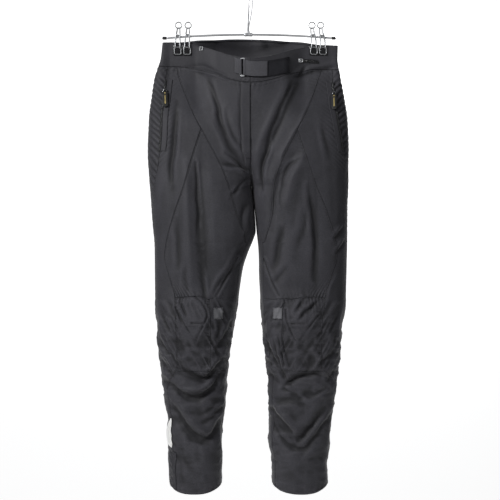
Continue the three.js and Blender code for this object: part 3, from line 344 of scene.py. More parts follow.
def base(leg, turn, z):
    """Points of the smooth surface before folds, and whether each is on the front."""
    w = np.where(turn > 1, turn - 2, np.where(turn < -1, turn + 2, turn))
    z = z + 0 * w
    front = w >= 0
    out = np.where(front, -1.0, 1.0)
    outer, inner = leg.outer(z), leg.inner(z) + leg.gap
    middle = (outer + inner) / 2
    deep = out * np.where(front, front_depth(z), back_depth(z))
    centre = out * np.where(front, centre_front_depth(z), centre_back_depth(z))
    t = np.abs(w)
    theta = np.minimum(t, 0.5) * np.pi
    phi = (np.maximum(t, 0.5) - 0.5) * np.pi
    x_out = outer + (middle - outer) * (1 - np.maximum(0, np.cos(theta)) ** SQUARE)
    y_out = deep * np.sin(theta) ** SQUARE
    across = np.sin(phi) ** SQUARE
    round_form = 1 - np.maximum(0, np.cos(phi)) ** SQUARE
    x_in = middle + (inner - middle) * across
    y_in = deep + (centre - deep) * mix(ease(across), round_form, split(z))
    x = np.where(t <= 0.5, x_out, x_in)
    y = np.where(t <= 0.5, y_out, y_in)
    held = pinch(x, z)
    y = y * (1 - held) + np.clip(y / 8, -1, 1) * (BAND_WALL + 0.25) * held
    fade, share = waist_fade(z), waist_share(x)
    dip = np.where(front, DIP["front"] * share**2, DIP["back"] * share**1.3)
    hem = ease((KNEE_END - z) / (KNEE_END - HEM))
    hem_drop = np.where(y < 0, HEM_DROP * hem * (y / front_depth(z)) ** 2, 0)
    return np.stack([x, y, z + (dip - TILT * x) * fade - hem_drop], -1), front


def noise(points, seed):
    """A smooth random field from -1 to 1 with one cell for each unit."""
    cell = np.floor(points).astype(np.int64)
    t = points - cell
    t = t * t * t * (t * (t * 6 - 15) + 10)
    total = 0
    for corner in np.ndindex(2, 2, 2):
        c = cell + corner
        h = c[..., 0] * 73856093 ^ c[..., 1] * 19349663 ^ c[..., 2] * 83492791 ^ seed * 97531
        h = ((h ^ (h >> 13)) * 1274126177) & 0xFFFFFFFF
        value = ((h ^ (h >> 16)) & 0xFFFF) / 32767.5 - 1
        total = total + np.prod(np.where(corner, t, 1 - t), -1) * value
    return total


def resampled(path, count):
    """The path as a smooth line of count points."""
    p = np.array(path, float)
    if len(p) == 2:
        return mix(p[0], p[1], np.linspace(0, 1, count)[:, None])
    ends = np.vstack([2 * p[0] - p[1], p, 2 * p[-1] - p[-2]])
    u = np.linspace(0, len(p) - 1 - 1e-9, count)
    i, t = u.astype(int), (u % 1)[:, None]
    a, b, c, d = ends[i], ends[i + 1], ends[i + 2], ends[i + 3]
    return 0.5 * (2 * b + (c - a) * t + (2 * a - 5 * b + 4 * c - d) * t**2 + (3 * b - a - 3 * c + d) * t**3)


def nearest(line, xz):
    """Signed distance from points to a line, and how far along it they lie, from 0 to 1."""
    best = np.full(len(xz), 1e9)
    signed = np.zeros(len(xz))
    along = np.zeros(len(xz))
    for i, (a, b) in enumerate(zip(line[:-1], line[1:])):
        d = b - a
        t = np.clip(((xz - a) @ d) / (d @ d), 0, 1)
        off = xz - a - t[:, None] * d
        distance = np.hypot(off[:, 0], off[:, 1])
        closer = distance < best
        best[closer] = distance[closer]
        signed[closer] = (np.sign(d[0] * off[:, 1] - d[1] * off[:, 0]) * distance)[closer]
        along[closer] = ((i + t) / (len(line) - 1))[closer]
    return signed, along


def near(line, xz, reach):
    low, high = line.min(0) - reach, line.max(0) + reach
    return np.flatnonzero(((xz > low) & (xz < high)).all(-1))


def fold_relief(front, points):
    """Height of the folds, creases and swellings at each point of the smooth surface."""
    height = np.zeros(len(points))
    xz = points[:, [0, 2]]
    wander = np.stack([noise(points / 34, 3), noise(points / 34, 5)], -1)
    for face, deep, width, path in MAIN_FOLDS:
        line = np.array(path, float)
        i = near(line, xz, 1.6 * width)
        i = i[front[i] == (face == "front")]
        distance, along = nearest(line, xz[i])
        reach = np.minimum(np.abs(distance) / (1.6 * width), 1)
        shape = (1 - reach**2) ** 2 * (0.4 + 0.6 * np.exp(-((reach / 0.26) ** 2)))
        height[i] += 1.05 * deep * shape * np.sin(np.pi * mix(0.12, 0.88, along))
    for face, x, z, wide, tall, high in SWELLINGS:
        r2 = ((xz[:, 0] - x) / wide) ** 2 + ((xz[:, 1] - z) / tall) ** 2
        height += np.where(front == (face == "front"), high * np.maximum(0, 1 - r2) ** 1.5, 0)
    for face, deep, width, ridge, path in ((face, *row) for face in CREASES for row in CREASES[face]):
        line = resampled(path, 5 * len(path))
        width *= 0.82 + 0.45 * (line[:, 1].mean() < -838)
        bent = xz + 3.2 * wander
        i = near(line, bent, 4 * width)
        i = i[front[i] == (face == "front")]
        distance, along = nearest(line, bent[i])
        u = distance / width
        trough = np.exp(-1.2 * np.abs(u) ** 1.4) - 0.8 * abs(ridge) * np.exp(-((u + 1.4 * ridge) ** 2))
        height[i] += CREASE_GAIN * deep * trough * np.sin(np.pi * mix(0.06, 0.94, along)) ** 0.8
    for path in QUILTING:
        line = resampled(path, 5 * len(path))
        i = near(line, xz, 12)
        i = i[front[i]]
        distance = np.abs(nearest(line, xz[i])[0])
        height[i] += 1.2 * np.exp(-(((distance - 4.5) / 3) ** 2)) - 1.6 * np.exp(-((distance / 1.6) ** 2))
    return height


def wrinkle_relief(points):
    """Small uneven wrinkles: long soft ones on the thighs, crosswise ones on the lower legs."""
    z = points[:, 2]
    low = ease((-690 - z) / 120) * (1 - 0.6 * ease((-1040 - z) / 50))
    waist, knee = ease((z + 330) / 100), ease((-692 - z) / 20) * ease((z + 880) / 40)
    soft = noise(points / (46, 46, 150), 11) * 1.5 + noise(points / (17, 17, 60), 12) * 0.6
    cross = 1 - 2 * np.abs(noise(points / (40, 40, 21), 13))
    fine = 1 - 2 * np.abs(noise(points / (19, 19, 10), 14))
    slanted = np.stack([np.abs(points[:, 0]) - 0.5 * z, points[:, 1], z], -1)
    gathers = 1 - 2 * np.abs(noise(slanted / (10, 30, 40), 17))
    lower = cross * 2.1 + fine * 0.9
    return soft * (1 - 0.6 * waist) + lower * low + 1.8 * gathers * knee + noise(points / 8, 15) * 0.14


def limits(w, z, reach):
    """Turns on both sides of w. Above the crotch they stay on one side of the centre."""
    open_leg = z < CROTCH
    return (np.where(open_leg, w - reach, np.maximum(-1, w - reach)),
            np.where(open_leg, w + reach, np.minimum(1, w + reach)))


def surface(leg, w, z, extra=None):
    """Points of the finished outer surface for arrays of turns and levels."""
    shape = np.broadcast(w, z).shape
    w, z = (np.broadcast_to(v, shape).astype(float).ravel() for v in (w, z))
    points, front = base(leg, w, z)
    low, high = limits(w, z, 0.004)
    across = base(leg, high, z)[0] - base(leg, low, z)[0]
    length = np.maximum(np.hypot(across[:, 0], across[:, 1]), 1e-9)
    out = np.stack([leg.turn * across[:, 1], -leg.turn * across[:, 0], 0 * z], -1) / length[:, None]
    height = (fold_relief(front, points) + calm(points) * wrinkle_relief(points)) * apart(leg, points)
    if extra is not None:
        height = height + extra.ravel()
    points = points + out * height[:, None]
    wave = noise(np.stack([points[:, 0] / 13, 0 * z, 0 * z + 0.5], -1), 8)
    arch = 6 * np.exp(-(((np.abs(points[:, 0]) - 132) / 30) ** 2)) - 2
    points[:, 2] += (2.8 * wave + arch) * front * np.exp(-(((z - KNEE_TOP) / 12) ** 2))
    return points.reshape(*shape, 3)


def calm(points):
    """Wrinkles fade out under the clips, where the waistband is flat."""
    z = points[:, 2]
    return mix(1, 0.25, ease((z + 235) / 50))


def apart(leg, points):
    """Folds fade out where the two thighs touch below the crotch."""
    touching = ease((points[:, 2] + 585) / 40) * (1 - ease((points[:, 2] + 450) / 30))
    return 1 - touching * (1 - ease(np.abs(points[:, 0] - leg.inner(points[:, 2])) / 16))


def grid_normals(grid, turn):
    """Outward unit normals of a grid whose rows go down and columns go with the turn."""
    along = np.gradient(grid, axis=1)
    down = np.gradient(grid, axis=0)
    n = np.cross(along, -down) * turn
    return n / np.maximum(np.linalg.norm(n, axis=-1, keepdims=True), 1e-9)


def turn_at(share):
    """The turn at a share of the leg's width."""
    share = np.asarray(share, float)
    folded = np.where(share < 0, -share, np.where(share > 1, 2 - share, share))
    near_half = np.arccos(np.clip(1 - 2 * folded, 0, 1) ** (1 / SQUARE)) / np.pi
    far_half = 0.5 + np.arcsin(np.clip(2 * folded - 1, 0, 1) ** (1 / SQUARE)) / np.pi
    w = np.where(folded <= 0.5, near_half, far_half)
    return np.where(share < 0, -w, np.where(share > 1, 2 - w, w))


def shifted(leg, w, z, distance):
    """The turn that lies a distance in millimetres further round."""
    w, z = np.asarray(w, float), np.asarray(z, float)
    distance = distance + 0 * z
    start = base(leg, w, z)[0]
    near_w, far_w = np.zeros_like(w + z), np.full_like(w + z, 0.5)
    for _ in range(16):
        middle = (near_w + far_w) / 2
        reached = np.linalg.norm(base(leg, w + np.sign(distance) * middle, z)[0] - start, axis=-1)
        past = reached > np.abs(distance)
        far_w = np.where(past, middle, far_w)
        near_w = np.where(past, near_w, middle)
    return w + np.sign(distance) * far_w


# Lines on a leg, each a function from levels to turns
diagonal_share, thigh_share = curve(DIAGONAL_SEAM), curve(THIGH_SEAM)
fly_width = curve(FLY["width"])


def outer_line(leg):
    return lambda z: turn_at(leg.side_share(z))


def inner_line(leg):
    return lambda z: np.where(z >= CROTCH, 1.0, turn_at(leg.inner_share(z)))


def diagonal_line(leg):
    return lambda z: turn_at(diagonal_share(z))


def thigh_line(leg):
    def at(z):
        tip = ease((KNEE_END + 15 - z) / (KNEE_END + 15 - SIDE_END))
        return turn_at(mix(thigh_share(z), leg.side_share(z) + 0.02, tip))
    return at


def knee_line(leg):
    return lambda z: turn_at(leg.knee_share(z))


def fly_line(leg):
    return lambda z: turn_at(1 - fly_width(z) / np.abs(leg.inner(z) - leg.outer(z)))


# Meshes
def to_row(points):
    return (np.asarray(points, float).reshape(-1, 3) - (0, 0, DROP)) * MM


def placed(name, data):
    """A new object in the scene."""
    thing = bpy.data.objects.new(name, data)
    bpy.context.scene.collection.objects.link(thing)
    return thing


def make(name, parts, material, body="garment", replaces=None):
    """One mesh object from parts of (points, list of face arrays, optional uv in mm, optional painted shading
    for each point: shade painted into creases and seams, highlight painted on ridges).
    """
    points, corners, sizes, uvs, painted_shading, offset = [], [], [], [], [], 0
    for part in parts:
        place = to_row(part[0])
        uv = part[2].reshape(-1, 2) if len(part) > 2 else np.asarray(part[0], float).reshape(-1, 3)[:, [0, 2]]
        for faces in part[1]:
            faces = np.asarray(faces, int)
            corners.append((faces + offset).ravel())
            sizes.append(np.full(len(faces), faces.shape[1]))
        points.append(place)
        uvs.append(uv)
        painted_shading.append(part[3].ravel() if len(part) > 3 else np.zeros(len(place)))
        offset += len(place)
    points, uvs = np.vstack(points), np.vstack(uvs)
    corners, sizes = np.concatenate(corners), np.concatenate(sizes)
    mesh = bpy.data.meshes.new(name)
    mesh.vertices.add(len(points))
    mesh.vertices.foreach_set("co", points.ravel())
    mesh.loops.add(len(corners))
    mesh.loops.foreach_set("vertex_index", corners)
    mesh.polygons.add(len(sizes))
    mesh.polygons.foreach_set("loop_start", np.concatenate([[0], np.cumsum(sizes)[:-1]]))
    mesh.polygons.foreach_set("loop_total", sizes)
    mesh.polygons.foreach_set("use_smooth", np.full(len(sizes), True))
    layer = mesh.uv_layers.new(name="cloth_mm")
    layer.data.foreach_set("uv", uvs[corners].ravel())
    # Painted shading for the cloth's colour: shade painted into creases and along seams, highlight painted on
    # the ridges.
    mesh.attributes.new("painted_shading", "FLOAT", "POINT").data.foreach_set("value", np.concatenate(painted_shading))
    mesh.update(calc_edges=True)
    mesh.validate()
    mesh.materials.append(material)
    thing = placed(name, mesh)
    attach(thing, body)
    if replaces:
        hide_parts(replaces)
    return thing


def signed_volume(points, faces):
    total = 0
    for f in faces:
        a = points[f[:, 0]]
        for k in range(1, f.shape[1] - 1):
            total += np.einsum("ij,ij->", a, np.cross(points[f[:, k]], points[f[:, k + 1]]))
    return total / 6


def outward(points, faces):
    """The part with its faces turned outwards."""
    flip = signed_volume(points, faces) < 0
    return points, [f[:, ::-1] if flip else f for f in faces]


def wall(outside, inside, uv=None, painted_shading=None):
    """A closed wall between two grids of points."""
    rows, columns = outside.shape[:2]
    points = np.concatenate([outside.reshape(-1, 3), inside.reshape(-1, 3)])
    number = np.arange(rows * columns).reshape(rows, columns)
    back = number + rows * columns

    def quads(a, b, c, d):
        return np.stack([a.ravel(), b.ravel(), c.ravel(), d.ravel()], -1)

    faces = [
        quads(number[:-1, :-1], number[1:, :-1], number[1:, 1:], number[:-1, 1:]),
        quads(back[:-1, :-1], back[:-1, 1:], back[1:, 1:], back[1:, :-1]),
        quads(number[:-1, 0], back[:-1, 0], back[1:, 0], number[1:, 0]),
        quads(number[:-1, -1], number[1:, -1], back[1:, -1], back[:-1, -1]),
        quads(number[0, :-1], number[0, 1:], back[0, 1:], back[0, :-1]),
        quads(number[-1, :-1], back[-1, :-1], back[-1, 1:], number[-1, 1:]),
    ]
    points, faces = outward(points, [np.concatenate(faces)])
    if uv is None:
        return points, faces
    # The points' painted shading (painted shade in creases and seams, painted highlight on ridges) is given
    # to both faces of the wall.
    if painted_shading is None:
        painted_shading = 0 * uv[..., 0]
    return points, faces, np.concatenate([uv.reshape(-1, 2)] * 2), np.concatenate([painted_shading.ravel()] * 2)


def tube(path, radius, sides=12, closed=False):
    """A round tube along a path; radius is one number or one for each point."""
    path = np.asarray(path, float)
    radius = np.broadcast_to(radius, len(path))
    ahead = np.roll(path, -1, 0) - np.roll(path, 1, 0)
    if not closed:
        ahead[0], ahead[-1] = path[1] - path[0], path[-1] - path[-2]
    ahead /= np.linalg.norm(ahead, axis=1, keepdims=True)
    side = np.cross(ahead[0], (0, 1, 0) if abs(ahead[0][1]) < 0.9 else (1, 0, 0))
    rings = []
    for p, d, r in zip(path, ahead, radius):
        side = side - d * (side @ d)
        side /= np.linalg.norm(side)
        other = np.cross(d, side)
        angle = np.linspace(0, 2 * np.pi, sides, endpoint=False)[:, None]
        rings.append(p + r * (np.cos(angle) * side + np.sin(angle) * other))
    points = np.concatenate(rings)
    number = np.arange(len(points)).reshape(len(path), sides)
    lower, upper = (number, np.roll(number, -1, 0)) if closed else (number[:-1], number[1:])
    next_lower, next_upper = np.roll(lower, -1, 1), np.roll(upper, -1, 1)
    quads = np.stack([v.ravel() for v in (lower, next_lower, next_upper, upper)], -1)
    faces = [quads]
    if not closed:
        caps = np.array([[number[0, 0], number[0, i + 1], number[0, i]] for i in range(1, sides - 1)]
                        + [[number[-1, 0], number[-1, i], number[-1, i + 1]] for i in range(1, sides - 1)])
        faces.append(caps)
    return outward(points, faces)


def block(size, bevel=0.4, segments=2):
    """A box with rounded edges round its own centre."""
    form = bmesh.new()
    bmesh.ops.create_cube(form, size=1)
    bmesh.ops.scale(form, vec=size, verts=form.verts)
    bmesh.ops.bevel(form, geom=form.edges[:], offset=bevel, segments=segments, affect="EDGES", profile=0.5)
    form.verts.ensure_lookup_table()
    points = np.array([v.co for v in form.verts])
    groups = {}
    for face in form.faces:
        groups.setdefault(len(face.verts), []).append([v.index for v in face.verts])
    form.free()
    return points, [np.array(g) for g in groups.values()]


def moved(part, offset=(0, 0, 0), axes=None):
    """A part turned by three axis vectors and moved."""
    points = np.asarray(part[0], float)
    if axes is not None:
        points = points @ np.array(axes, float)
    return (points + np.asarray(offset, float), *part[1:])


def column_shares(count, tight=0.6):
    """Places from 0 to 1, closer together near both ends."""
    u = np.linspace(0, 1, count + 1)
    return u - tight * np.sin(2 * np.pi * u) / (2 * np.pi)


def lengths(grid, axis):
    step = np.linalg.norm(np.diff(grid, axis=axis), axis=-1)
    total = np.cumsum(step, axis=axis)
    shape = list(total.shape)
    shape[axis] = 1
    return np.concatenate([np.zeros(shape), total], axis=axis)


def arc(line):
    """How far along a line each of its points lies."""
    return np.concatenate([[0], np.cumsum(np.linalg.norm(np.diff(line, axis=0), axis=1))])


def read_at(values, at, s):
    """Values that are known at the distances at, read off at the distances s."""
    return np.stack([np.interp(s, at, column) for column in values.T], -1)


def edge_roll(distance, radius):
    """How far a rounded edge falls back at a distance from it."""
    inside = np.clip(radius - distance, 0, radius)
    return radius - np.sqrt(np.maximum(0, radius**2 - inside**2))


def edge_relief(style, distance, along, seed):
    """Puckers that fade out away from an edge, and the dents of its stitch rows."""
    high, pitch, reach, slant, rows, (start, end) = EDGES[style]
    drift = np.stack([along / 37, 0 * along, 0 * along], -1)
    strength = 0.65 + 0.6 * noise(drift, seed)
    strength = strength * mix(0.25, 1, ease((along - start + 8) / 16) * ease((end + 8 - along) / 16))
    wave = np.sin(2 * np.pi * (along + slant * distance + 3.5 * noise(1.6 * drift, seed + 1)) / pitch)
    height = high * strength * wave * np.exp(-distance / reach) * (1 - 0.65 * np.exp(-distance / 2.5))
    part = ease((along - start + 8) / 12) * ease((end + 12 - along) / 12)
    for row in rows:
        height = height + part * 0.35 * np.exp(-(((distance - 0.5 * row) / (0.35 * row)) ** 2))
        height = height - part * 0.45 * np.exp(-(((distance - row) / 0.9) ** 2))
    return height


def blurred(field, reach):
    """The field's average round each point, weighted over a reach in cells."""
    offsets = np.arange(-int(2.5 * reach) - 1, int(2.5 * reach) + 2)
    weights = np.exp(-0.5 * (offsets / reach) ** 2)
    for axis in (0, 1):
        place = np.arange(field.shape[axis])
        field = sum(weight * np.take(field, np.clip(place + offset, 0, len(place) - 1), axis)
                    for offset, weight in zip(offsets, weights)) / weights.sum()
    return field


def painted_crease_shading(relief, step):
    """How far each point lies below the cloth round it, near and wide, from -0.35 to 1. It is painted into
    the cloth's colour as shade in the creases and as highlight on the ridges.
    """
    close = (blurred(relief, 5 / step) - relief) / 0.9
    wide = (blurred(relief, 14 / step) - relief) / 2.6
    return np.clip(0.5 * close + 0.6 * wide, -0.35, 1)


def measured(grid, turn, styles):
    """The distances of a grid's points from its four edges, with its cloth coordinates."""
    across, down = lengths(grid, 1), lengths(grid, 0)
    return {"left": across, "right": across[:, -1:] - across, "top": down, "foot": down[-1:] - down,
            "uv": np.stack([across, -down], -1), "turn": turn, "styles": styles}


def cloth_grid(leg, top, foot, start, end, step, styles, seed=0):
    """The finished surface of a panel between two lines, with distances to its edges and the shade and
    highlight painted into its colour.
    """
    z = mix(top, foot, column_shares(max(4, int((top - foot) / step)), 0.4))
    a, b = shifted(leg, start(z), z, SEAM_GAP / 2), shifted(leg, end(z), z, -SEAM_GAP / 2)
    coarse = base(leg, mix(a[:, None], b[:, None], np.linspace(0, 1, 25)), z[:, None])[0]
    widest = lengths(coarse, 1)[:, -1].max()
    w = mix(a[:, None], b[:, None], column_shares(max(4, int(widest / step))))
    smooth = base(leg, w, z[:, None])[0]
    made = measured(smooth, leg.turn, styles)
    extra = sum(edge_relief(style, made[edge], made[ALONG[edge]], seed + 10 * k)
                for k, (edge, style) in enumerate(styles.items()))
    made["grid"] = surface(leg, w, z[:, None] + 0 * w, extra)
    relief = ((made["grid"] - smooth) * grid_normals(smooth, leg.turn)).sum(-1)
    # Painted shading: the cloth's colour is darkened as painted shade where the surface lies below its
    # surroundings, in the creases, and lightened as painted highlight on the ridges.
    made["painted_shading"] = painted_crease_shading(relief, step)
    # Painted shade in a thin line along each edge that is not quiet, where the seam's groove lies.
    for edge, style in styles.items():
        made["painted_shading"] += (style != "quiet") * 0.6 * np.exp(-((made[edge] / 1.4) ** 2))
    return made


def cloth_wall(made, thick):
    """A shell of cloth with rounded edges from a finished grid."""
    radius = 0.46 * thick
    nearest_edge = 99.0
    for edge, style in made["styles"].items():
        beyond = np.maximum(0, made[ALONG[edge]] - EDGES[style][5][1])
        quiet = 0.7 * radius if style == "quiet" else 0
        nearest_edge = np.minimum(nearest_edge, made[edge] + beyond + quiet)
    roll = edge_roll(nearest_edge, radius)[..., None]
    out = grid_normals(made["grid"], made["turn"])
    outside, inside = made["grid"] - out * roll, made["grid"] - out * (thick - roll)
    return wall(outside, inside, made["uv"], made.get("painted_shading"))


def edge_stitches(made):
    """The stitch rows inside a panel's edges, on its finished grid."""
    rows = []
    normals = grid_normals(made["grid"], made["turn"])
    for edge, style in made["styles"].items():
        grid, out, distance = made["grid"], normals, made[edge]
        if edge in ("top", "foot"):
            grid, out, distance = grid.swapaxes(0, 1), out.swapaxes(0, 1), distance.T
        if edge in ("right", "foot"):
            grid, out, distance = grid[:, ::-1], out[:, ::-1], distance[:, ::-1]
        along = lengths(grid, 0)[:, 0]
        keep = (along > EDGES[style][5][0] + 3) & (along < min(EDGES[style][5][1], along[-1] - 3))
        for inset in EDGES[style][4]:
            i = np.clip((distance < inset).sum(1) - 1, 0, distance.shape[1] - 2)
            r = np.arange(len(i))
            t = ((inset - distance[r, i]) / (distance[r, i + 1] - distance[r, i]))[:, None]
            points, n = mix(grid[r, i], grid[r, i + 1], t), mix(out[r, i], out[r, i + 1], t)
            if keep.sum() > 4:
                rows += stitch_row(points[keep], n[keep])
    return rows


def stitch_row(points, normals, pitch=3.3, long=2.3, thick=0.5, lift=0.1):
    """A row of thread stitches along a line of surface points."""
    at = arc(points)
    starts = np.arange(pitch / 2, at[-1] - long, pitch)
    if len(starts) == 0:
        return []
    a, m, b = (read_at(points, at, starts + share * long) for share in (0, 0.5, 1))
    na, nm, nb = (read_at(normals, at, starts + share * long) for share in (0, 0.5, 1))
    ahead = (b - a) / np.linalg.norm(b - a, axis=1, keepdims=True)
    side = np.cross(ahead, nm)
    ring = [m + nm * (lift + thick * 0.7), m + side * thick / 2 + nm * lift,
            m + nm * (lift - thick * 0.5), m - side * thick / 2 + nm * lift]
    points = np.stack([a - na * 0.1, b - nb * 0.1, *ring], 1)
    faces = []
    for i in range(4):
        j = (i + 1) % 4
        faces += [[0, 2 + j, 2 + i], [1, 2 + i, 2 + j]]
    number = np.arange(len(starts))[:, None, None] * 6
    return [(points.reshape(-1, 3), [(np.array(faces) + number).reshape(-1, 3)])]


def on_surface(leg, w, z):
    """Points and normals of the finished surface along a line of places."""
    w, z = np.asarray(w, float), np.asarray(z, float)
    low, high = limits(w, z, 0.006)
    strip = surface(leg, np.stack([low, w, high], 1), z[:, None] + np.zeros((1, 3)))
    along = strip[:, 2] - strip[:, 0]
    upper = surface(leg, w, z + 1.5)
    lower = surface(leg, w, z - 1.5)
    n = np.cross(along, upper - lower) * leg.turn
    n /= np.maximum(np.linalg.norm(n, axis=1, keepdims=True), 1e-9)
    return strip[:, 1], n


def turn_across(leg, x, z):
    """The turn of places on a leg's front at distances x from the centre."""
    outer = leg.outer(z)
    return turn_at(np.clip((x - outer) / (leg.inner(z) + leg.gap - outer), 0, 1))


def stitches_on_front(path, count):
    """Stitches along a path of x and z on the front of one leg."""
    x, z = resampled(path, count).T
    level = z
    for _ in range(6):
        level = z - (DIP["front"] * waist_share(x) ** 2 - TILT * x) * waist_fade(level)
    leg = LEGS["right" if np.mean(x) < np.mean(LEGS["right"].inner(level)) else "left"]
    return stitch_row(*on_surface(leg, turn_across(leg, x, level), level))


# Materials
def node(tree, kind, **values):
    made = tree.nodes.new(kind)
    for key, value in values.items():
        if hasattr(made, key):
            setattr(made, key, value)
        else:
            made.inputs[key.replace("_", " ").title()].default_value = value
    return made


def link(tree, start, end):
    tree.links.new(start, end)


def bare_material(name, colour, rough, metal=0.0, sheen=0.0, coat=0.0, specular=0.5):
    made = bpy.data.materials.new(name)
    made.use_nodes = True
    shader = made.node_tree.nodes["Principled BSDF"]
    shader.inputs["Base Color"].default_value = (*colour, 1)
    shader.inputs["Roughness"].default_value = rough
    shader.inputs["Metallic"].default_value = metal
    shader.inputs["Sheen Weight"].default_value = sheen
    shader.inputs["Sheen Roughness"].default_value = 0.45
    shader.inputs["Coat Weight"].default_value = coat
    shader.inputs["Coat Roughness"].default_value = 0.2
    shader.inputs["Specular IOR Level"].default_value = specular
    return made, made.node_tree, shader


def ranged(tree, source, ends, start=(0, 1)):
    """A value moved from one range into another."""
    made = node(tree, "ShaderNodeMapRange")
    for name, value in zip(("From Min", "From Max", "To Min", "To Max"), (*start, *ends)):
        made.inputs[name].default_value = value
    link(tree, source, made.inputs["Value"])
    return made.outputs["Result"]


def speckle(tree, place, **values):
    """Noise over the given coordinates."""
    made = node(tree, "ShaderNodeTexNoise", **values)
    link(tree, place, made.inputs["Vector"])
    return made.outputs["Fac"]


def multiplied(tree, first, second, share=1):
    made = node(tree, "ShaderNodeMix", data_type="RGBA", blend_type="MULTIPLY")
    made.inputs[0].default_value = share
    link(tree, first, made.inputs[6])
    link(tree, second, made.inputs[7])
    return made.outputs[2]


def bumped(tree, height, strength, distance, under=None):
    made = node(tree, "ShaderNodeBump", strength=strength, distance=distance)
    link(tree, height, made.inputs["Height"])
    if under:
        link(tree, under, made.inputs["Normal"])
    return made.outputs["Normal"]


def varied_colour(tree, shader, colour, amount, scale):
    """Soft uneven tone over the surface."""
    place = node(tree, "ShaderNodeTexCoord").outputs["Object"]
    spots = speckle(tree, place, scale=scale, detail=3.0, roughness=0.55)
    ramp = node(tree, "ShaderNodeValToRGB")
    for stop, position, gain in zip(ramp.color_ramp.elements, (0.3, 0.7), (1 - amount, 1 + amount)):
        stop.position = position
        stop.color = (*[c * gain for c in colour], 1)
    link(tree, spots, ramp.inputs["Fac"])
    link(tree, ramp.outputs["Color"], shader.inputs["Base Color"])
    return place, ramp.outputs["Color"]


def fabric(name, colour, weave=1.0, rough=0.62, sheen=0.12, ribs=0.62):
    """Woven cloth: twill ribs and threads from the mesh's own millimetre coordinates, with shade painted into
    creases and seams and highlight painted on ridges.
    """
    made, tree, shader = bare_material(name, colour, rough, sheen=sheen, specular=0.32)
    tint = varied_colour(tree, shader, colour, 0.12, 22.0)[1]
    uv = node(tree, "ShaderNodeUVMap", uv_map="cloth_mm").outputs["UV"]
    turn = node(tree, "ShaderNodeMapping")
    turn.inputs["Rotation"].default_value = (0, 0, math.radians(38))
    link(tree, uv, turn.inputs["Vector"])
    twill = node(tree, "ShaderNodeTexWave", wave_type="BANDS", bands_direction="X", wave_profile="SIN",
                 distortion=0.6, detail_scale=0.4)
    twill.inputs["Scale"].default_value = 0.31 / ribs
    link(tree, turn.outputs["Vector"], twill.inputs["Vector"])
    thread = speckle(tree, uv, scale=1.6, detail=4.0)
    shade = multiplied(tree, tint, twill.outputs["Color"], 0.22)
    # Painted shading from the mesh's attribute: the colour is darkened as painted shade in creases and along
    # seams and lightened as painted highlight on ridges. The mottle is uneven tone.
    painted_shading = node(tree, "ShaderNodeAttribute", attribute_name="painted_shading").outputs["Fac"]
    painted_shading_gain = ranged(tree, painted_shading, (1.18, 0.42), (-0.35, 1))
    mottle = ranged(tree, speckle(tree, uv, scale=0.32, detail=2.0), (0.84, 1.16), (0.3, 0.7))
    both = node(tree, "ShaderNodeMath", operation="MULTIPLY")
    link(tree, painted_shading_gain, both.inputs[0])
    link(tree, mottle, both.inputs[1])
    link(tree, multiplied(tree, shade, both.outputs[0]), shader.inputs["Base Color"])
    low = bumped(tree, twill.outputs["Fac"], 0.35 * weave, 0.00022)
    link(tree, bumped(tree, thread, 0.3 * weave, 0.00025, low), shader.inputs["Normal"])
    link(tree, ranged(tree, thread, (rough - 0.07, rough + 0.09)), shader.inputs["Roughness"])
    return made


def rough_material(name, colour, rough, metal=0.0, coat=0.0, grain=900.0, bump=0.0002, amount=0.15,
                   specular=0.5):
    """Moulded or metal surface with a fine grain and an uneven gloss."""
    made, tree, shader = bare_material(name, colour, rough, metal, coat=coat, specular=specular)
    place = varied_colour(tree, shader, colour, amount, 60.0)[0]
    grains = speckle(tree, place, scale=grain, detail=2.0)
    link(tree, bumped(tree, grains, 0.3, bump), shader.inputs["Normal"])
    link(tree, ranged(tree, grains, (rough * 0.75, min(1, rough * 1.3))), shader.inputs["Roughness"])
    return made


SHELL = fabric("shell_twill", (0.0345, 0.0339, 0.0408))
KNEE = fabric("knee_cloth", (0.0362, 0.0355, 0.0425), weave=1.6, rough=0.7, ribs=1.1)
BAND = fabric("waistband_cloth", (0.0318, 0.0312, 0.0374), weave=1.1, rough=0.6)
WEBBING = fabric("tab_webbing", (0.062, 0.0615, 0.071), weave=2.4, rough=0.66, ribs=1.5, sheen=0.2)
LOOP = rough_material("loop_pile", (0.019, 0.019, 0.0225), 0.95, grain=1500, bump=0.0006, specular=0.15)
HOOK_TAPE = rough_material("hook_tape", (0.128, 0.128, 0.14), 0.55, grain=1300, bump=0.0004)
ZIP_TAPE = fabric("zip_tape", (0.016, 0.016, 0.018), weave=1.8, rough=0.66, ribs=0.9)
TEETH = rough_material("zip_teeth", (0.020, 0.020, 0.022), 0.3, coat=0.3, grain=1200)
THREAD = rough_material("thread", (0.034, 0.034, 0.038), 0.45, grain=2500, bump=0.0002, specular=0.5)
REFLECTOR = rough_material("reflector", (0.80, 0.80, 0.79), 0.32, grain=2200, bump=0.0001, amount=0.03)
RUBBER = rough_material("dark_vinyl", (0.012, 0.012, 0.013), 0.22, coat=0.8, grain=500, bump=0.0001)
PULL_RUBBER = rough_material("pull_rubber", (0.014, 0.014, 0.014), 0.5, grain=900, bump=0.0002)
CHROME = rough_material("chrome", (0.78, 0.79, 0.81), 0.22, metal=1.0, grain=260, bump=0.00003, amount=0.04)
PLATED = rough_material("plated_wire", (0.62, 0.63, 0.65), 0.3, metal=0.55, grain=260, bump=0.00003,
                        amount=0.04)
SPRING = rough_material("spring_steel", (0.36, 0.37, 0.38), 0.3, metal=0.6, grain=260, bump=0.00003,
                        amount=0.04)
BRASS = rough_material("brass", (0.62, 0.50, 0.22), 0.5, metal=1.0, grain=900, bump=0.00005)


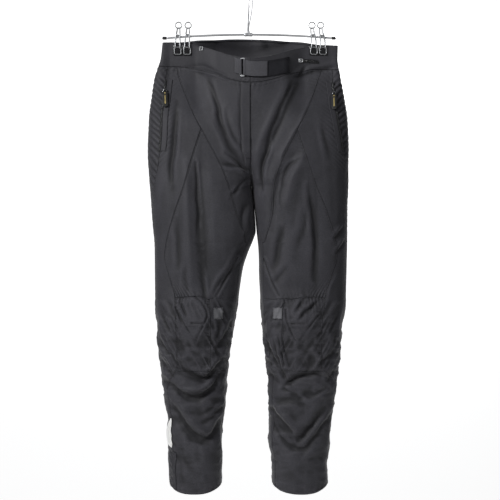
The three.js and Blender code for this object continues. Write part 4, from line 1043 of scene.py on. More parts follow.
# Cloth panels
def panels_of(leg):
    outer, inner, diagonal, thigh = outer_line(leg), inner_line(leg), diagonal_line(leg), thigh_line(leg)

    def side_inner(z):
        return np.where(z > FORK_TOP, diagonal(z), thigh(z))

    def thigh_inner(z):
        return np.where(z >= GUSSET_END, diagonal(z), inner(z))

    def shin_outer(z):
        return np.where(z >= SIDE_END, thigh(z), outer(z))

    def back_inner(z):
        return inner(z) - 2

    waist, gap = WAIST_SEAM - SEAM_GAP / 2, SEAM_GAP / 2
    knee, knee_span = knee_line(leg), (KNEE_TOP - gap, KNEE_END + gap)
    # name, top, foot, first line, last line, styles of the left, right, top and foot edges
    return [
        ("centre_front", waist, GUSSET_END + gap, diagonal, inner, "sewn plain waist quiet"),
        ("outer_side", waist, SIDE_END + gap, outer, side_inner, "pocket plain waist quiet"),
        ("thigh_front", FORK_TOP - 1 - gap, KNEE_TOP + gap, thigh, thigh_inner, "sewn plain quiet gathered"),
        ("knee_panel", *knee_span, thigh, knee, "knee knee gathered knee"),
        ("inner_knee", *knee_span, knee, inner, "plain plain quiet quiet"),
        ("shin_front", KNEE_END - gap, HEM, shin_outer, inner, "sewn plain quiet hem"),
        ("back", waist, HEM, back_inner, outer, "plain pocket_back waist hem"),
    ]


STEPS = {"knee_panel": 0.62 * FRONT_STEP, "back": BACK_STEP}
stitches = {"waist": [], "right": [], "left": []}
for leg in LEGS.values():
    for number, (name, *spans, edges) in enumerate(panels_of(leg)):
        styles = dict(zip(EDGE_NAMES, edges.split()))
        seed = 40 * number + (7 if leg.turn > 0 else 9)
        made = cloth_grid(leg, *spans, STEPS.get(name, FRONT_STEP), styles, seed)
        cloth, slot = (KNEE, "knee_fabric") if name == "knee_panel" else (SHELL, "shell_fabric")
        node_name = f"{leg.side}_{name}"
        piece = make(f"{node_name}_cloth", [cloth_wall(made, WALL)], cloth, replaces=node_name)
        stitches[leg.side] += edge_stitches(made)


# Waistband
def band_grid(parts, step, turn):
    """A grid over one or more (leg, from, to) spans of the band, from its top edge to its seam."""
    z = mix(BAND_TOP, WAIST_SEAM + SEAM_GAP / 2, column_shares(int(56 / step), 0.5))
    pieces = []
    for leg, start, end in parts:
        a, b = start + 0 * z, end + 0 * z
        if start == 0:
            a = shifted(leg, a, z, np.sign(end) * SEAM_GAP / 2)
        if end == 0:
            b = shifted(leg, b, z, -SEAM_GAP / 2)
        w = mix(a[:, None], b[:, None], np.linspace(0, 1, int(205 / step)))
        smooth = base(leg, w, z[:, None])[0]
        across, down = lengths(smooth, 1), lengths(smooth, 0)
        extra = edge_relief("band_top", down, across, 3)
        extra = extra + edge_relief("band_foot", down[-1:] - down, across, 5)
        pieces.append(surface(leg, w, z[:, None] + 0 * w, extra))
    grid = np.concatenate([pieces[0]] + [p[:, 1:] for p in pieces[1:]], axis=1)
    styles = {"top": "band_top", "foot": "band_foot", "left": "plain", "right": "plain"}
    return {"grid": grid, **measured(grid, turn, styles)}


bands = {
    "waistband_right": band_grid([(LEGS["right"], 0, 1)], 1.9, 1),
    "waistband_left": band_grid([(LEGS["left"], 0, 1)], 1.9, -1),
    "waistband_back": band_grid([(LEGS["right"], 0, -1), (LEGS["left"], -1, 0)], 2.2, -1),
}
for name, made in bands.items():
    piece = make(f"{name}_cloth", [cloth_wall(made, BAND_WALL)], BAND, replaces=name)
    stitches["waist"] += edge_stitches(made)


# Pieces laid on the cloth
def front_surface(x, level, face=1):
    """The finished surface at distances x from the middle, over both legs; face is 1 in front."""
    x, level = np.broadcast_arrays(np.asarray(x, float), np.asarray(level, float))
    right, left = (surface(leg, face * turn_across(leg, x, level), level) for leg in LEGS.values())
    return np.where((x < LEGS["right"].inner(level))[..., None], right, left)


def slab(grid, turn, low, thick):
    """A thin piece lying on a grid of surface points, with rounded edges."""
    out = grid_normals(grid, turn)
    across, down = lengths(grid, 1), lengths(grid, 0)
    edge = np.minimum(np.minimum(across, across[:, -1:] - across), np.minimum(down, down[-1:] - down))
    roll = edge_roll(edge, 0.46 * thick)
    upper = grid + out * (low + thick - roll)[..., None]
    lower = grid + out * (low + roll)[..., None]
    return wall(upper, lower, np.stack([across, -down], -1))


def patch(place, size, step, turn=1, **shape):
    """A grid and its slab: place gives surface points for two arrays of shares from 0 to 1."""
    columns, rows = (max(5, int(length / step)) for length in size)
    t, u = np.meshgrid(column_shares(rows, 0.8), column_shares(columns, 0.8), indexing="ij")
    grid = place(u, t)
    return grid, slab(grid, turn, **shape)


def sewn(grid, turn, path, lift, count=160, **style):
    """Stitches on a grid along a path of shares across and down."""
    line = np.array(path, float)
    at = arc(line)
    u, t = read_at(line, at, np.linspace(0, at[-1], count)).T
    rows, columns = grid.shape[0] - 1, grid.shape[1] - 1
    across, down = lengths(grid, 1)[rows // 2], lengths(grid, 0)[:, columns // 2]
    i = np.interp(u, across / across[-1], np.arange(columns + 1))
    j = np.interp(t, down / down[-1], np.arange(rows + 1))
    i0, j0 = np.minimum(i.astype(int), columns - 1), np.minimum(j.astype(int), rows - 1)
    fi, fj = (i - i0)[:, None], (j - j0)[:, None]

    def sample(values):
        top = mix(values[j0, i0], values[j0, i0 + 1], fi)
        foot = mix(values[j0 + 1, i0], values[j0 + 1, i0 + 1], fi)
        return mix(top, foot, fj)

    normals = sample(grid_normals(grid, turn))
    return stitch_row(sample(grid) + normals * lift, normals, **style)


def border(grid, inset):
    """A path of shares round a grid, a distance inside its edges."""
    wide, tall = lengths(grid, 1)[0, -1], lengths(grid, 0)[-1, 0]
    a, b = inset / wide, inset / tall
    return [(a, b), (1 - a, b), (1 - a, 1 - b), (a, 1 - b), (a, b)]


def tab_part(x0, x1, z0, z1):
    """A part of the tab, which runs straight on where the band rises."""
    def place(u, t):
        x = mix(x0, x1, u)
        share = (x - TAB["ring_x"]) / (TAB["loop_end"] - TAB["ring_x"])
        return front_surface(x, mix(z0, z1, t) - TAB["drop"] * share)
    return place


def tufts(grid, turn, lift, pitch, high, seed):
    """Short bent loops of pile standing on a grid of surface points."""
    out = grid_normals(grid, turn)
    wide, tall = lengths(grid, 1)[0, -1], lengths(grid, 0)[-1, 0]
    random = np.random.default_rng(seed)
    columns, rows = int(wide / pitch), int(tall / pitch)
    u, t = np.meshgrid((np.arange(columns) + 0.5) / columns, (np.arange(rows) + 0.5) / rows)
    u = (u + random.uniform(-0.4, 0.4, u.shape) / columns).ravel()
    t = (t + random.uniform(-0.4, 0.4, t.shape) / rows).ravel()
    i = np.clip((u * (grid.shape[1] - 1)).round().astype(int), 0, grid.shape[1] - 1)
    j = np.clip((t * (grid.shape[0] - 1)).round().astype(int), 0, grid.shape[0] - 1)
    seat, n = grid[j, i], out[j, i]
    centre = seat + random.uniform(-0.5, 0.5, (len(u), 3)) * pitch
    centre += n * (lift - np.einsum("ij,ij->i", centre - seat, n))[:, None]
    angle = random.uniform(0, 2 * np.pi, len(u))
    side = np.cross(n, (0.3, 0.2, 0.93))
    side /= np.linalg.norm(side, axis=1, keepdims=True)
    other = np.cross(n, side)
    way = np.cos(angle)[:, None] * side + np.sin(angle)[:, None] * other
    across = np.cross(n, way)
    half = 0.42 * pitch
    points = np.stack([
        centre - way * half - across * 0.14, centre - way * half + across * 0.14,
        centre + n * high - across * 0.2, centre + n * high + across * 0.2,
        centre + way * half - across * 0.14, centre + way * half + across * 0.14,
        centre + n * high * 0.45,
    ], 1)
    faces = np.array([[0, 2, 3], [0, 3, 1], [2, 4, 5], [2, 5, 3], [0, 6, 2], [2, 6, 4], [1, 3, 6], [3, 5, 6],
                      [0, 1, 6], [4, 6, 5]])
    number = np.arange(len(u))[:, None, None] * 7
    return points.reshape(-1, 3), [(faces + number).reshape(-1, 3)]


def seam_allowance(name, face, x, z, low, thick):
    """A turned-in edge behind a seam, which closes it from the inside."""
    level = np.linspace(*z, int((z[0] - z[1]) / 5) + 3)[:, None]
    grid = front_surface(np.arange(*x, 4)[None, :], level, face)
    make(name, [slab(grid, face, low, thick)], BAND)


for face, word in ((1, "front"), (-1, "back")):
    seam_allowance(f"{word}_seam_allowance", face, (-8, 13), (WAIST_SEAM + 3, CROTCH + 8), -WALL - 1.6, 1.1)
    seam_allowance(f"{word}_waist_allowance", face, (-204, 204), (WAIST_SEAM + 4, WAIST_SEAM - 5),
                   -BAND_WALL - 0.2, 0.12)

seam_allowance("back_waist_binding", -1, (-192, 192), (BAND_TOP + 0.6, BAND_TOP - 4.5),
               -BAND_WALL - 0.95, 0.8)

# Fly
leg = LEGS["right"]


def fly_place(u, t):
    z = mix(FLY["top"], FLY["foot"], t)
    return surface(leg, mix(fly_line(leg)(z), shifted(leg, 1.0 + 0 * z, z, -FLY["edge"]), u), z)


fly_grid, part = patch(fly_place, (20, 200), 1.6, low=0.6, thick=1.2)
make("fly_cloth", [part], SHELL, replaces="fly")
stitches["waist"] += sewn(fly_grid, 1, [(0.93, 0.01), (0.93, 0.99)], 1.8, 300)

# Hook-and-loop tab
TAB = {"ring_x": -16, "ring_wide": 11, "ring_tall": 42, "wire": 1.3, "end": 38, "loop_end": 87, "top": -134,
       "foot": -168, "drop": 11}
half_ring = TAB["ring_wide"] / 2
loop_start = TAB["ring_x"] + half_ring + 5
strap_start = TAB["ring_x"] + half_ring + 0.4
loop_size = (TAB["loop_end"] - loop_start, 36)
grid, part = patch(tab_part(loop_start, TAB["loop_end"], TAB["top"] + 1, TAB["foot"] - 1), loop_size, 1.6,
                   low=0.7, thick=1.2)
bare = [part, tufts(grid, 1, 1.8, 1.25, 0.75, 5)]
make("loop_tape_pile", bare, LOOP, replaces="loop_tape")
stitches["waist"] += sewn(grid, 1, border(grid, 2.2), 2.1, 500)
grid, part = patch(tab_part(strap_start, TAB["end"], TAB["top"], TAB["foot"]), (48, 34), 1.2,
                   low=2.4, thick=1.9)


def strap_turn(sign, bar_x, level):
    """The strap's fold round one side bar of the ring."""
    z = np.linspace(TAB["top"] + 1.2, TAB["foot"] - 1.2, 22)[:, None]
    bar = front_surface(bar_x, z)
    edge = front_surface(bar_x + 1.0, z)
    across = (edge - bar) / np.linalg.norm(edge - bar, axis=-1, keepdims=True)
    out = np.cross(across, (0, 0, 1))
    out /= np.linalg.norm(out, axis=-1, keepdims=True)
    angle = np.linspace(-0.5, 1.0, 13)[None, :, None] * np.pi
    centre = bar + out * level
    way = out * np.cos(angle) - sign * across * np.sin(angle)
    return wall(centre + 2.9 * way, centre + 1.6 * way)


make("tab_strap_webbing", [part, strap_turn(1, TAB["ring_x"] + half_ring - 1.3, 2.4)], WEBBING,
     replaces="tab_strap")
stitches["waist"] += sewn(grid, 1, border(grid, 2.6), 4.35, 420)
stitches["waist"] += sewn(grid, 1, [(0.3, 0.07), (0.3, 0.93)], 4.35, 90)
anchor_x = (TAB["ring_x"] - half_ring - 12, TAB["ring_x"] - half_ring - 0.4)
grid, part = patch(tab_part(*anchor_x, TAB["top"], TAB["foot"]), (11.6, 34), 1.2, low=0.6, thick=2.4)
make("ring_anchor_strap", [part, strap_turn(-1, TAB["ring_x"] - half_ring + 1.3, 2.4)], WEBBING,
     replaces="ring_anchor")
stitches["waist"] += sewn(grid, 1, [(0.25, 0.05), (0.25, 0.95)], 3.05, 90)


def frame_on(point, across, up, path, radius, sides=12):
    """A wire frame along a closed path of (across, up) on a piece's own axes."""
    axes = np.stack([across, up])
    line = np.array(path, float) @ axes + point
    return tube(line, radius, sides, closed=True)


def rounded(wide, tall, corner, steps=7):
    """A rectangle with rounded corners as a closed path."""
    path = []
    for cx, cz, start in ((1, 1, 0), (-1, 1, 90), (-1, -1, 180), (1, -1, 270)):
        for step in np.linspace(0, 90, steps):
            a = math.radians(start + step)
            path.append((cx * (wide / 2 - corner) + corner * math.cos(a),
                         cz * (tall / 2 - corner) + corner * math.sin(a)))
    dense = []
    closed = path + [path[0]]
    for (ax, ay), (bx, by) in zip(closed[:-1], closed[1:]):
        pieces = max(1, int(math.hypot(bx - ax, by - ay) / 2.0))
        dense += [(mix(ax, bx, k / pieces), mix(ay, by, k / pieces)) for k in range(pieces)]
    return dense


def seat_axes(x, level):
    """A point on the front with the axes across, up and out of the cloth there."""
    p = front_surface([x - 4, x + 4, x, x], [level, level, level - 8, level + 8])
    across = (p[1] - p[0]) / np.linalg.norm(p[1] - p[0])
    up = (p[3] - p[2]) / np.linalg.norm(p[3] - p[2])
    out = np.cross(across, up)
    across = np.cross((0, 0, 1), out)
    across = across / np.linalg.norm(across)
    return front_surface(x, level), across, np.cross(out, across), out / np.linalg.norm(out)


point, across, up, out = seat_axes(TAB["ring_x"], (TAB["top"] + TAB["foot"]) / 2)
point = point + out * 2.4
ring_path = rounded(TAB["ring_wide"] - 2.6, TAB["ring_tall"] - 2.6, 2.2)
ring_wire = [TAB["wire"] + 0.5 * ease((-y - 17) / 3) for x, y in ring_path]
make("tab_ring_wire", [frame_on(point, across, up, ring_path, ring_wire)], PLATED, replaces="tab_ring")

# Waist adjusters
STRAP = {"from": 119, "to": 154}


def adjuster_place(u, t):
    x = mix(STRAP["from"], STRAP["to"], u) + t - 0.5
    level = mix(mix(-155, -163, u), mix(-163, -171, u), t)
    return front_surface(x, level)


grid, part = patch(adjuster_place, (38, 8.5), 0.8, low=0.9, thick=1.2)
teeth = []
for u in np.linspace(0.06, 0.7, 11):
    ends = adjuster_place(np.full(2, u), np.array([0.12, 0.88]))
    teeth.append(tube(ends - (0, 2.1, 0), 0.55, 8))
make("adjuster_strap_webbing", [part, *teeth], RUBBER, replaces="adjuster_strap")
box = [(0.8, 0.15), (0.95, 0.15), (0.95, 0.85), (0.8, 0.85), (0.8, 0.15)]
stitches["waist"] += sewn(grid, 1, box, 2.1, 60, pitch=2.2, long=1.6)
for side, x, level in (("left", 113, -157), ("right", -109, -133)):
    point, across, up, out = seat_axes(x, level)
    seat = point + out * 1.9
    bars = [frame_on(seat, across, up, rounded(8.4, 7.2, 1.0, 4), 0.8, 8),
            tube([seat - up * 2.9, seat + up * 2.9], 0.6, 8)]
    # The right slide is given the duller spring steel and the left one the brighter plated wire: a darker
    # copy of the metal as painted shade on the right slide and a brighter one as painted highlight on the
    # left.
    make(f"adjuster_slide_{side}_frame", bars, SPRING if side == "right" else PLATED,
         replaces=f"adjuster_slide_{side}")


# Pockets
def hinge_axes(side):
    """The middle of the pull's hinge bar with the slider's axes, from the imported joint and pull."""
    joint = next(j for j in frame["joints"] if j["child"] == f"{side}_pull")
    centre = np.array(joint["pos_m"]) / MM + (0, 0, DROP)
    across = -np.array(joint["axis"])
    pull = np.array([v.co for v in frame["nodes"][f"{side}_pocket_pull"].data.vertices]) / MM + (0, 0, DROP)
    up = centre - pull.mean(0)
    up = up - across * (up @ across)
    up /= np.linalg.norm(up)
    return centre, np.array([across, up, np.cross(across, up)])


def beside_seam(leg, low, high):
    seam = outer_line(leg)

    def place(u, t):
        z = mix(POCKET["top"], POCKET["foot"], t)
        turn = seam(z)
        return surface(leg, mix(shifted(leg, turn, z, low), shifted(leg, turn, z, high), u), z)
    return place


def zip_teeth(grid, turn, lift, pitch=1.7):
    """Two meshing rows of small teeth along the middle of the zip."""
    out = grid_normals(grid, turn)
    middle = grid.shape[1] // 2
    line, normal = grid[:, middle], out[:, middle]
    at = arc(line)
    parts = []
    tooth = block((2.0, 0.95, 0.8), 0.22, 1)
    for k, s in enumerate(np.arange(3, at[-1] - 3, pitch / 2)):
        p, q, n = read_at(line, at, s), read_at(line, at, s + 1), read_at(normal, at, s)
        down = (q - p) / np.linalg.norm(q - p)
        n = n - down * (n @ down)
        n /= np.linalg.norm(n)
        across = np.cross(down, n)
        parts.append(moved(tooth, p + n * lift + across * (0.55 if k % 2 else -0.55), (across, down, n)))
    return parts


def rounded_plate(outline, thick, edge=0.35, steps=3):
    """A flat plate of a closed outline (across, up), with rounded rims, its middle at height 0."""
    outline = np.array(outline, float)
    centre = outline.mean(0)
    layers = []
    for k in range(steps + 1):
        a = k / steps * np.pi / 2
        layers.append((thick / 2 - edge + edge * math.sin(a), edge * (1 - math.cos(a))))
    profile = [(-h, inset) for h, inset in layers[::-1]] + layers
    tangent = np.roll(outline, -1, 0) - np.roll(outline, 1, 0)
    inward = np.stack([-tangent[:, 1], tangent[:, 0]], -1)
    inward /= np.linalg.norm(inward, axis=1, keepdims=True)
    if np.einsum("ij,ij->", inward, centre - outline) < 0:
        inward = -inward
    rings = [np.column_stack([outline + inward * inset, np.full(len(outline), h)]) for h, inset in profile]
    points = np.concatenate(rings + [[(*centre, profile[0][0])], [(*centre, profile[-1][0])]])
    count, last = len(outline), len(rings) * len(outline)
    number = np.arange(last).reshape(len(rings), count)
    low, high = number[:-1], number[1:]
    quads = np.stack([v.ravel() for v in (low, np.roll(low, -1, 1), np.roll(high, -1, 1), high)], -1)
    foot = np.stack([np.full(count, last), np.roll(number[0], -1), number[0]], -1)
    top = np.stack([np.full(count, last + 1), number[-1], np.roll(number[-1], -1)], -1)
    return outward(points, [quads, np.concatenate([foot, top])])


PULL = {"wide": 11, "long": 44, "thick": 1.8, "bar": 0.8, "eye": 1.65, "eye_wire": 0.5, "bar_lift": 5.2}


def build_pocket(side):
    leg = LEGS[side]
    grid, part = patch(beside_seam(leg, -3, 3), (6, 161), 0.9, leg.turn, low=0.6, thick=0.8)
    make(f"{side}_pocket_zip_tape", [part], ZIP_TAPE, replaces=f"{side}_pocket_zip")
    make(f"{side}_pocket_zip_teeth", zip_teeth(grid, leg.turn, 1.75), TEETH)
    stitches[side] += sewn(grid, leg.turn, [(0.1, 0.01), (0.1, 0.99)], 1.45, 260)
    grid, part = patch(beside_seam(leg, 3.4, 15), (11.6, 161), 1.2, leg.turn, low=0.6, thick=1.2)
    make(f"{side}_pocket_welt_cloth", [part], SHELL, replaces=f"{side}_pocket_welt")
    edge = [(0.1, 0.015), (0.86, 0.015), (0.86, 0.985), (0.1, 0.985)]
    stitches[side] += sewn(grid, leg.turn, edge, 1.85, 360)

    centre, axes = hinge_axes(side)
    foot = centre - axes[2] * PULL["bar_lift"]

    def on_slider(part, x=0, y=0, z=0):
        return moved(part, foot + np.array([x, y, z]) @ axes, axes)

    nose = [(-4, -5.5), (4, -5.5), (4.2, 0), (3.2, 4.2), (1.6, 5.5), (-1.6, 5.5), (-3.2, 4.2), (-4.2, 0)]
    parts = [on_slider(rounded_plate(nose, 1.8, 0.5), z=0.9)]
    for x in (-2.9, 2.9):
        parts.append(on_slider(block((1, 3, PULL["bar_lift"] + 0.4), 0.3), x, 0, PULL["bar_lift"] / 2 + 0.4))
    bar = tube(np.array([[-3.4, 0, 0], [3.4, 0, 0]]), PULL["bar"], 12)
    parts.append(on_slider(bar, z=PULL["bar_lift"]))
    make(f"{side}_pocket_slider_body", parts, CHROME, replaces=f"{side}_pocket_slider")

    def on_pull(part, x=0, y=0, z=0):
        return moved(part, centre + np.array([x, y, z]) @ axes, axes)

    around = np.linspace(0, 2 * np.pi, 20)[:-1]
    ring = [(0, PULL["eye"] * math.cos(a), PULL["eye"] * math.sin(a)) for a in around]
    loops = [on_pull(tube(ring, PULL["eye_wire"], 8, closed=True), x) for x in (-1.3, 0, 1.3)]
    wide, end = PULL["wide"] / 2, PULL["long"] - 1
    tab = [(-2, -2.6), (2, -2.6), (2.3, -3.6), (4, -4.4), (wide, -6.4), (wide, -20), (wide, -end + 4)]
    tab += [(wide - 1.2, -end + 1.2), (wide - 3.6, -end)]
    tab += [(-x, y) for x, y in tab[::-1]]
    body = [on_pull(rounded_plate(tab[:-1], PULL["thick"], 0.6))]
    make(f"{side}_pocket_pull_tab", loops + body, PULL_RUBBER, body=f"{side}_pull",
         replaces=f"{side}_pocket_pull")
    circle = [(1.7 * math.cos(a), 1.7 * math.sin(a)) for a in np.linspace(0, 2 * np.pi, 19)[:-1]]
    dot = [on_pull(rounded_plate(circle, 0.5, 0.2), 0, -9, PULL["thick"] / 2 + 0.1)]
    rib = rounded(2.4, 22, 1.0, 4)
    dot.append(on_pull(rounded_plate(rib, 0.4, 0.15), 0, -25, PULL["thick"] / 2 + 0.1))
    make(f"{side}_pocket_pull_inlay", dot, BRASS, body=f"{side}_pull")


for side in LEGS:
    build_pocket(side)

# Knee squares, reflective patches and ankle plackets
KNEE_TAPE = {"wide": 20, "tall": 24, "level": -730, "right": -70, "left": 62}
ANKLE = {"placket_top": -1032, "placket_wide": 11, "patch_top": -962, "patch_foot": -1024, "patch_wide": 46}


def build_trim(side):
    leg = LEGS[side]
    x, level = KNEE_TAPE[side], KNEE_TAPE["level"]

    def square(u, t):
        z = level + mix(0.5, -0.5, t) * KNEE_TAPE["tall"]
        across = mix(x - KNEE_TAPE["wide"] / 2, x + KNEE_TAPE["wide"] / 2, u)
        return surface(leg, turn_across(leg, across, z), z)

    grid, part = patch(square, (20, 24), 1.0, 1, low=0.9, thick=1.2)
    hooks = tufts(grid, 1, 2.0, 1.5, 0.7, 11)
    make(f"{side}_knee_tape_hooks", [part, hooks], HOOK_TAPE, replaces=f"{side}_knee_tape")
    stitches[side] += sewn(grid, 1, border(grid, 1.6), 2.25, 200)

    def reflective(u, t):
        z = mix(ANKLE["patch_top"], ANKLE["patch_foot"], t)
        wide = mix(3, ANKLE["patch_wide"], t)
        return surface(leg, shifted(leg, outer_line(leg)(z), z, mix(-wide - 1, -1, u)), z)

    grid, part = patch(reflective, (46, 62), 1.6, leg.turn, low=0.8, thick=0.8)
    make(f"{side}_reflective_patch_film", [part], REFLECTOR, replaces=f"{side}_reflective_patch")

    def placket(u, t):
        z = mix(ANKLE["placket_top"], HEM + 1, t)
        return surface(leg, shifted(leg, outer_line(leg)(z), z, mix(1, ANKLE["placket_wide"], u)), z)

    grid, part = patch(placket, (10, 90), 1.3, leg.turn, low=0.7, thick=1.2)
    make(f"{side}_ankle_placket_cloth", [part], SHELL, replaces=f"{side}_ankle_placket")
    for share in (0.18, 0.82):
        stitches[side] += sewn(grid, leg.turn, [(share, 0.01), (share, 0.99)], 1.95, 160)


for side in LEGS:
    build_trim(side)

# Hanger
ROD = {"left": -187, "right": 183, "ends": -115, "middle": -107, "radius": 2.4}
HOOK = {"radius": 20, "wire": 2}
JAW = {"width": 19, "top": -132, "foot": -154, "thick": 2.2}
CLIPS = [("clip_1", -162.6, 2), ("clip_2", -141.3, 2), ("clip_3", 143.5, -4), ("clip_4", 163.8, -5)]


def bow(x):
    middle, reach = (ROD["left"] + ROD["right"]) / 2, (ROD["right"] - ROD["left"]) / 2
    return mix(ROD["middle"], ROD["ends"], ((x - middle) / reach) ** 2)


def build_rod():
    x = np.linspace(ROD["left"], ROD["right"], 90)
    line = np.column_stack([x, 0 * x, bow(x)])
    make("rod_wire", [tube(line, ROD["radius"], 20)], PLATED, replaces="rod")
    profile = [(0, 2.6), (0.4, 3.1), (1.0, 3.4), (8.2, 3.4), (9.3, 2.9), (9.9, 1.8), (10, 0.3)]
    for side, x, way in (("right", ROD["left"], -1), ("left", ROD["right"], 1)):
        at = np.array([(x + way * (0.4 + d), 0, ROD["ends"]) for d, r in profile])
        cap = tube(at, [r for d, r in profile], 20)
        make(f"rod_end_{side}_cap", [cap], RUBBER, replaces=f"rod_end_{side}")


def build_hook():
    saddle_x = -4
    level = bow(saddle_x)
    profile = [(-9, 2.75), (-9, 3.7), (-8.6, 4.1), (-3, 4.1), (-2.4, 3.9), (2.4, 3.9), (3, 4.1), (8.6, 4.1),
               (9, 3.7), (9, 2.75)]
    at = np.array([(saddle_x + d, 0, level) for d, r in profile])
    sleeve = tube(at + np.linspace(0, 1e-4, len(at))[:, None] * (1, 0, 0), [r for d, r in profile], 24)
    boss = [(3.2, 3.6), (4.0, 3.9), (5.0, 3.6), (6.2, 3.1), (8.2, 3.0), (8.6, 2.7), (8.6, 1.4)]
    neck = tube([(saddle_x, 0, level + h) for h, r in boss], [r for h, r in boss], 24)
    make("hook_saddle_sleeve", [sleeve, neck], PLATED, replaces="hook_saddle")
    top = DROP + HOOK["wire"] - HOOK["radius"]
    stem = [(saddle_x, 0, level + 8.9), (-2.8, 0, -85), (1, 0, -66), (3.6, 0, -48), (5.2, 0, -30),
            (10.5, 0, -16), (17.4, 0, -8.5)]
    crown = [(HOOK["radius"] * math.cos(math.radians(a)), 0, top + HOOK["radius"] * math.sin(math.radians(a)))
             for a in (0, 30, 60, 90, 120, 150, 180, 205, 225)]
    line = resampled(stem + crown, 160)
    radius = np.full(len(line), float(HOOK["wire"]))
    radius[-4:] = (1.95, 1.8, 1.4, 0.7)
    make("hook_wire", [tube(line, radius, 20)], PLATED, replaces="hook")


def build_clip(name, x, lean):
    clear, jaw_y = ROD["radius"] + 1.6, BAND_WALL + 0.25 + 0.5
    leg_top = -92
    parts = []
    around = np.linspace(0, 2 * np.pi, 41)[:-1]
    for y in (-1.0, 1.0):
        coil = [(x + lean + 7 * math.cos(a), y, -86 + 7 * math.sin(a)) for a in around]
        parts.append(tube(coil, 1.2, 10, closed=True))
    for side in (-1, 1):
        for face in (-1, 1):
            line = resampled([
                (x + lean + side * 2.6, face * 1.2, leg_top),
                (x + lean * 0.7 + side * 3.6, face * clear, leg_top - 10),
                (x + lean * 0.4 + side * 4.2, face * (clear + 1.4), -108),
                (x + side * 5, face * (clear + 1.6), -122),
                (x + side * 5.4, face * (jaw_y + JAW["thick"] + 1.2), JAW["top"] - 4),
                (x + side * 5.4, face * (jaw_y + JAW["thick"] + 0.4), JAW["top"] - 9),
            ], 40)
            parts.append(tube(line, 1.2, 12))
    parts.append(moved(block((8, 4.4, 3), 0.5), (x + lean, 0, leg_top - 0.5)))
    seat = bow(x) + ROD["radius"] + 0.55 + 1.2
    parts.append(moved(block((11, 2 * clear + 2, 2.4), 0.6), (x + lean / 2, 0, seat)))
    make(f"{name}_spring_wire", parts, SPRING, replaces=f"{name}_spring")
    for face, word in ((-1, "front"), (1, "back")):
        middle = (JAW["top"] + JAW["foot"]) / 2
        y = face * (jaw_y + JAW["thick"] / 2)
        plate = [moved(block((JAW["width"], JAW["thick"], JAW["top"] - JAW["foot"]), 0.8, 3), (x, y, middle))]
        lip = moved(block((JAW["width"] - 1.2, 1.2, 2.6), 0.5, 2), (x, y + face * 1.1, JAW["foot"] + 3.2))
        plate.append(lip)
        for side in (-1, 1):
            socket = resampled([(x + side * 5.4, y + face * 1.1, JAW["top"] - 2.5),
                                  (x + side * 5.4, y + face * 1.0, JAW["top"] - 12)], 6)
            plate.append(tube(socket, [1.7, 1.95, 1.95, 1.9, 1.6, 0.9], 14))
        make(f"{name}_jaw_{word}_pad", plate, RUBBER, replaces=f"{name}_jaw_{word}")
        rim = rounded(JAW["width"] - 4.4, JAW["top"] - JAW["foot"] - 6, 3, 4)
        rim = [(x + across, y + face * (JAW["thick"] / 2 + 0.35), middle - 1 + up) for across, up in rim]
        make(f"{name}_jaw_{word}_rim", [tube(rim, 0.55, 8, closed=True)], PLATED)


build_rod()
build_hook()
for clip in CLIPS:
    build_clip(*clip)

# Topstitching of the fly and the knees
for inset in (22, 27):
    path = [(2 - inset, -224), (2 - inset, -330), (2 - inset, -392), (2 - inset * 0.75, -425), (-1.5, -444)]
    stitches["waist"] += stitches_on_front(path, 200)
for path in QUILTING:
    stitches["right" if path[0][0] < 0 else "left"] += stitches_on_front(path, 120)
for name, word in (("waist", "waist"), ("right", "right_leg"), ("left", "left_leg")):
    make(f"{word}_stitches", stitches[name], THREAD)


# Camera, lights and stage
def area_light(name, place, aim, size, power):
    data = bpy.data.lights.new(name, "AREA")
    data.shape, data.size, data.size_y = "RECTANGLE", size, size
    data.energy = power
    lamp = placed(name, data)
    lamp.location = place
    lamp.rotation_euler = (Vector(aim) - Vector(place)).to_track_quat("-Z", "Y").to_euler()


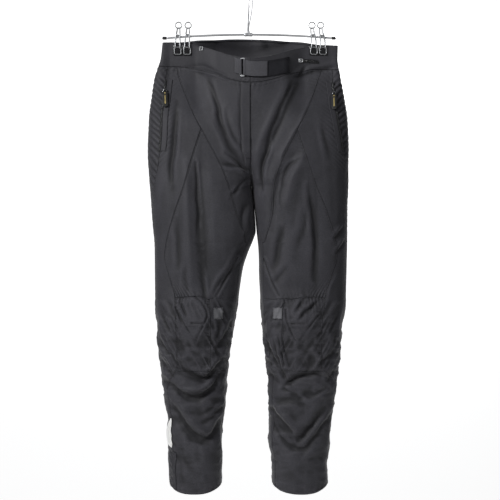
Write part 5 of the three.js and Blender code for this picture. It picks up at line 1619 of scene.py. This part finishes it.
def stage_plane(name, corners, material):
    mesh = bpy.data.meshes.new(name)
    mesh.from_pydata(corners, [], [(0, 1, 2, 3)])
    mesh.materials.append(material)
    placed(name, mesh)


def build_stage():
    white, _, shader = bare_material("backdrop_white", (0.9, 0.9, 0.9), 0.9)
    shader.inputs["Emission Color"].default_value = (1, 1, 1, 1)
    shader.inputs["Emission Strength"].default_value = 0.7
    floor_z, wall_y = -1.45, 3.0
    stage_plane("backdrop_wall", [(-3, wall_y, -3), (3, wall_y, -3), (3, wall_y, 2), (-3, wall_y, 2)], white)
    floor = bare_material("pale_floor", (0.82, 0.82, 0.81), 0.8)[0]
    corners = [(-1.6, -1.6, floor_z), (1.6, -1.6, floor_z), (1.6, 0.9, floor_z), (-1.6, 0.9, floor_z)]
    stage_plane("studio_floor", corners, floor)
    world = bpy.data.worlds.new("studio")
    world.use_nodes = True
    tree, sky = world.node_tree, world.node_tree.nodes["Background"]
    sky.inputs["Color"].default_value = (0.92, 0.95, 1.0, 1)
    sky.inputs["Strength"].default_value = 0.06
    seen = tree.nodes.new("ShaderNodeBackground")
    seen.inputs["Color"].default_value = (1, 1, 1, 1)
    seen.inputs["Strength"].default_value = 0.93
    ray, either = tree.nodes.new("ShaderNodeLightPath"), tree.nodes.new("ShaderNodeMixShader")
    link(tree, ray.outputs["Is Camera Ray"], either.inputs[0])
    link(tree, sky.outputs[0], either.inputs[1])
    link(tree, seen.outputs[0], either.inputs[2])
    link(tree, either.outputs[0], tree.nodes["World Output"].inputs["Surface"])
    bpy.context.scene.world = world
    area_light("key", (-1.9, -1.9, 0.95), (0, 0, -0.6), 0.7, 84)
    area_light("fill", (1.8, -2.0, 0.6), (0, 0, -0.5), 0.9, 13)
    area_light("rear", (1.0, 2.5, 1.4), (0, 0, -0.65), 0.9, 80)
    bpy.context.scene.view_settings.view_transform = "Standard"


def build_camera():
    data = bpy.data.cameras.new("camera")
    data.lens, data.sensor_width = 76.8, 36
    camera = placed("camera", data)
    camera.location = (0, -2.4, -0.613)
    camera.rotation_euler = (math.pi / 2, 0, 0)
    bpy.context.scene.camera = camera


build_stage()
build_camera()
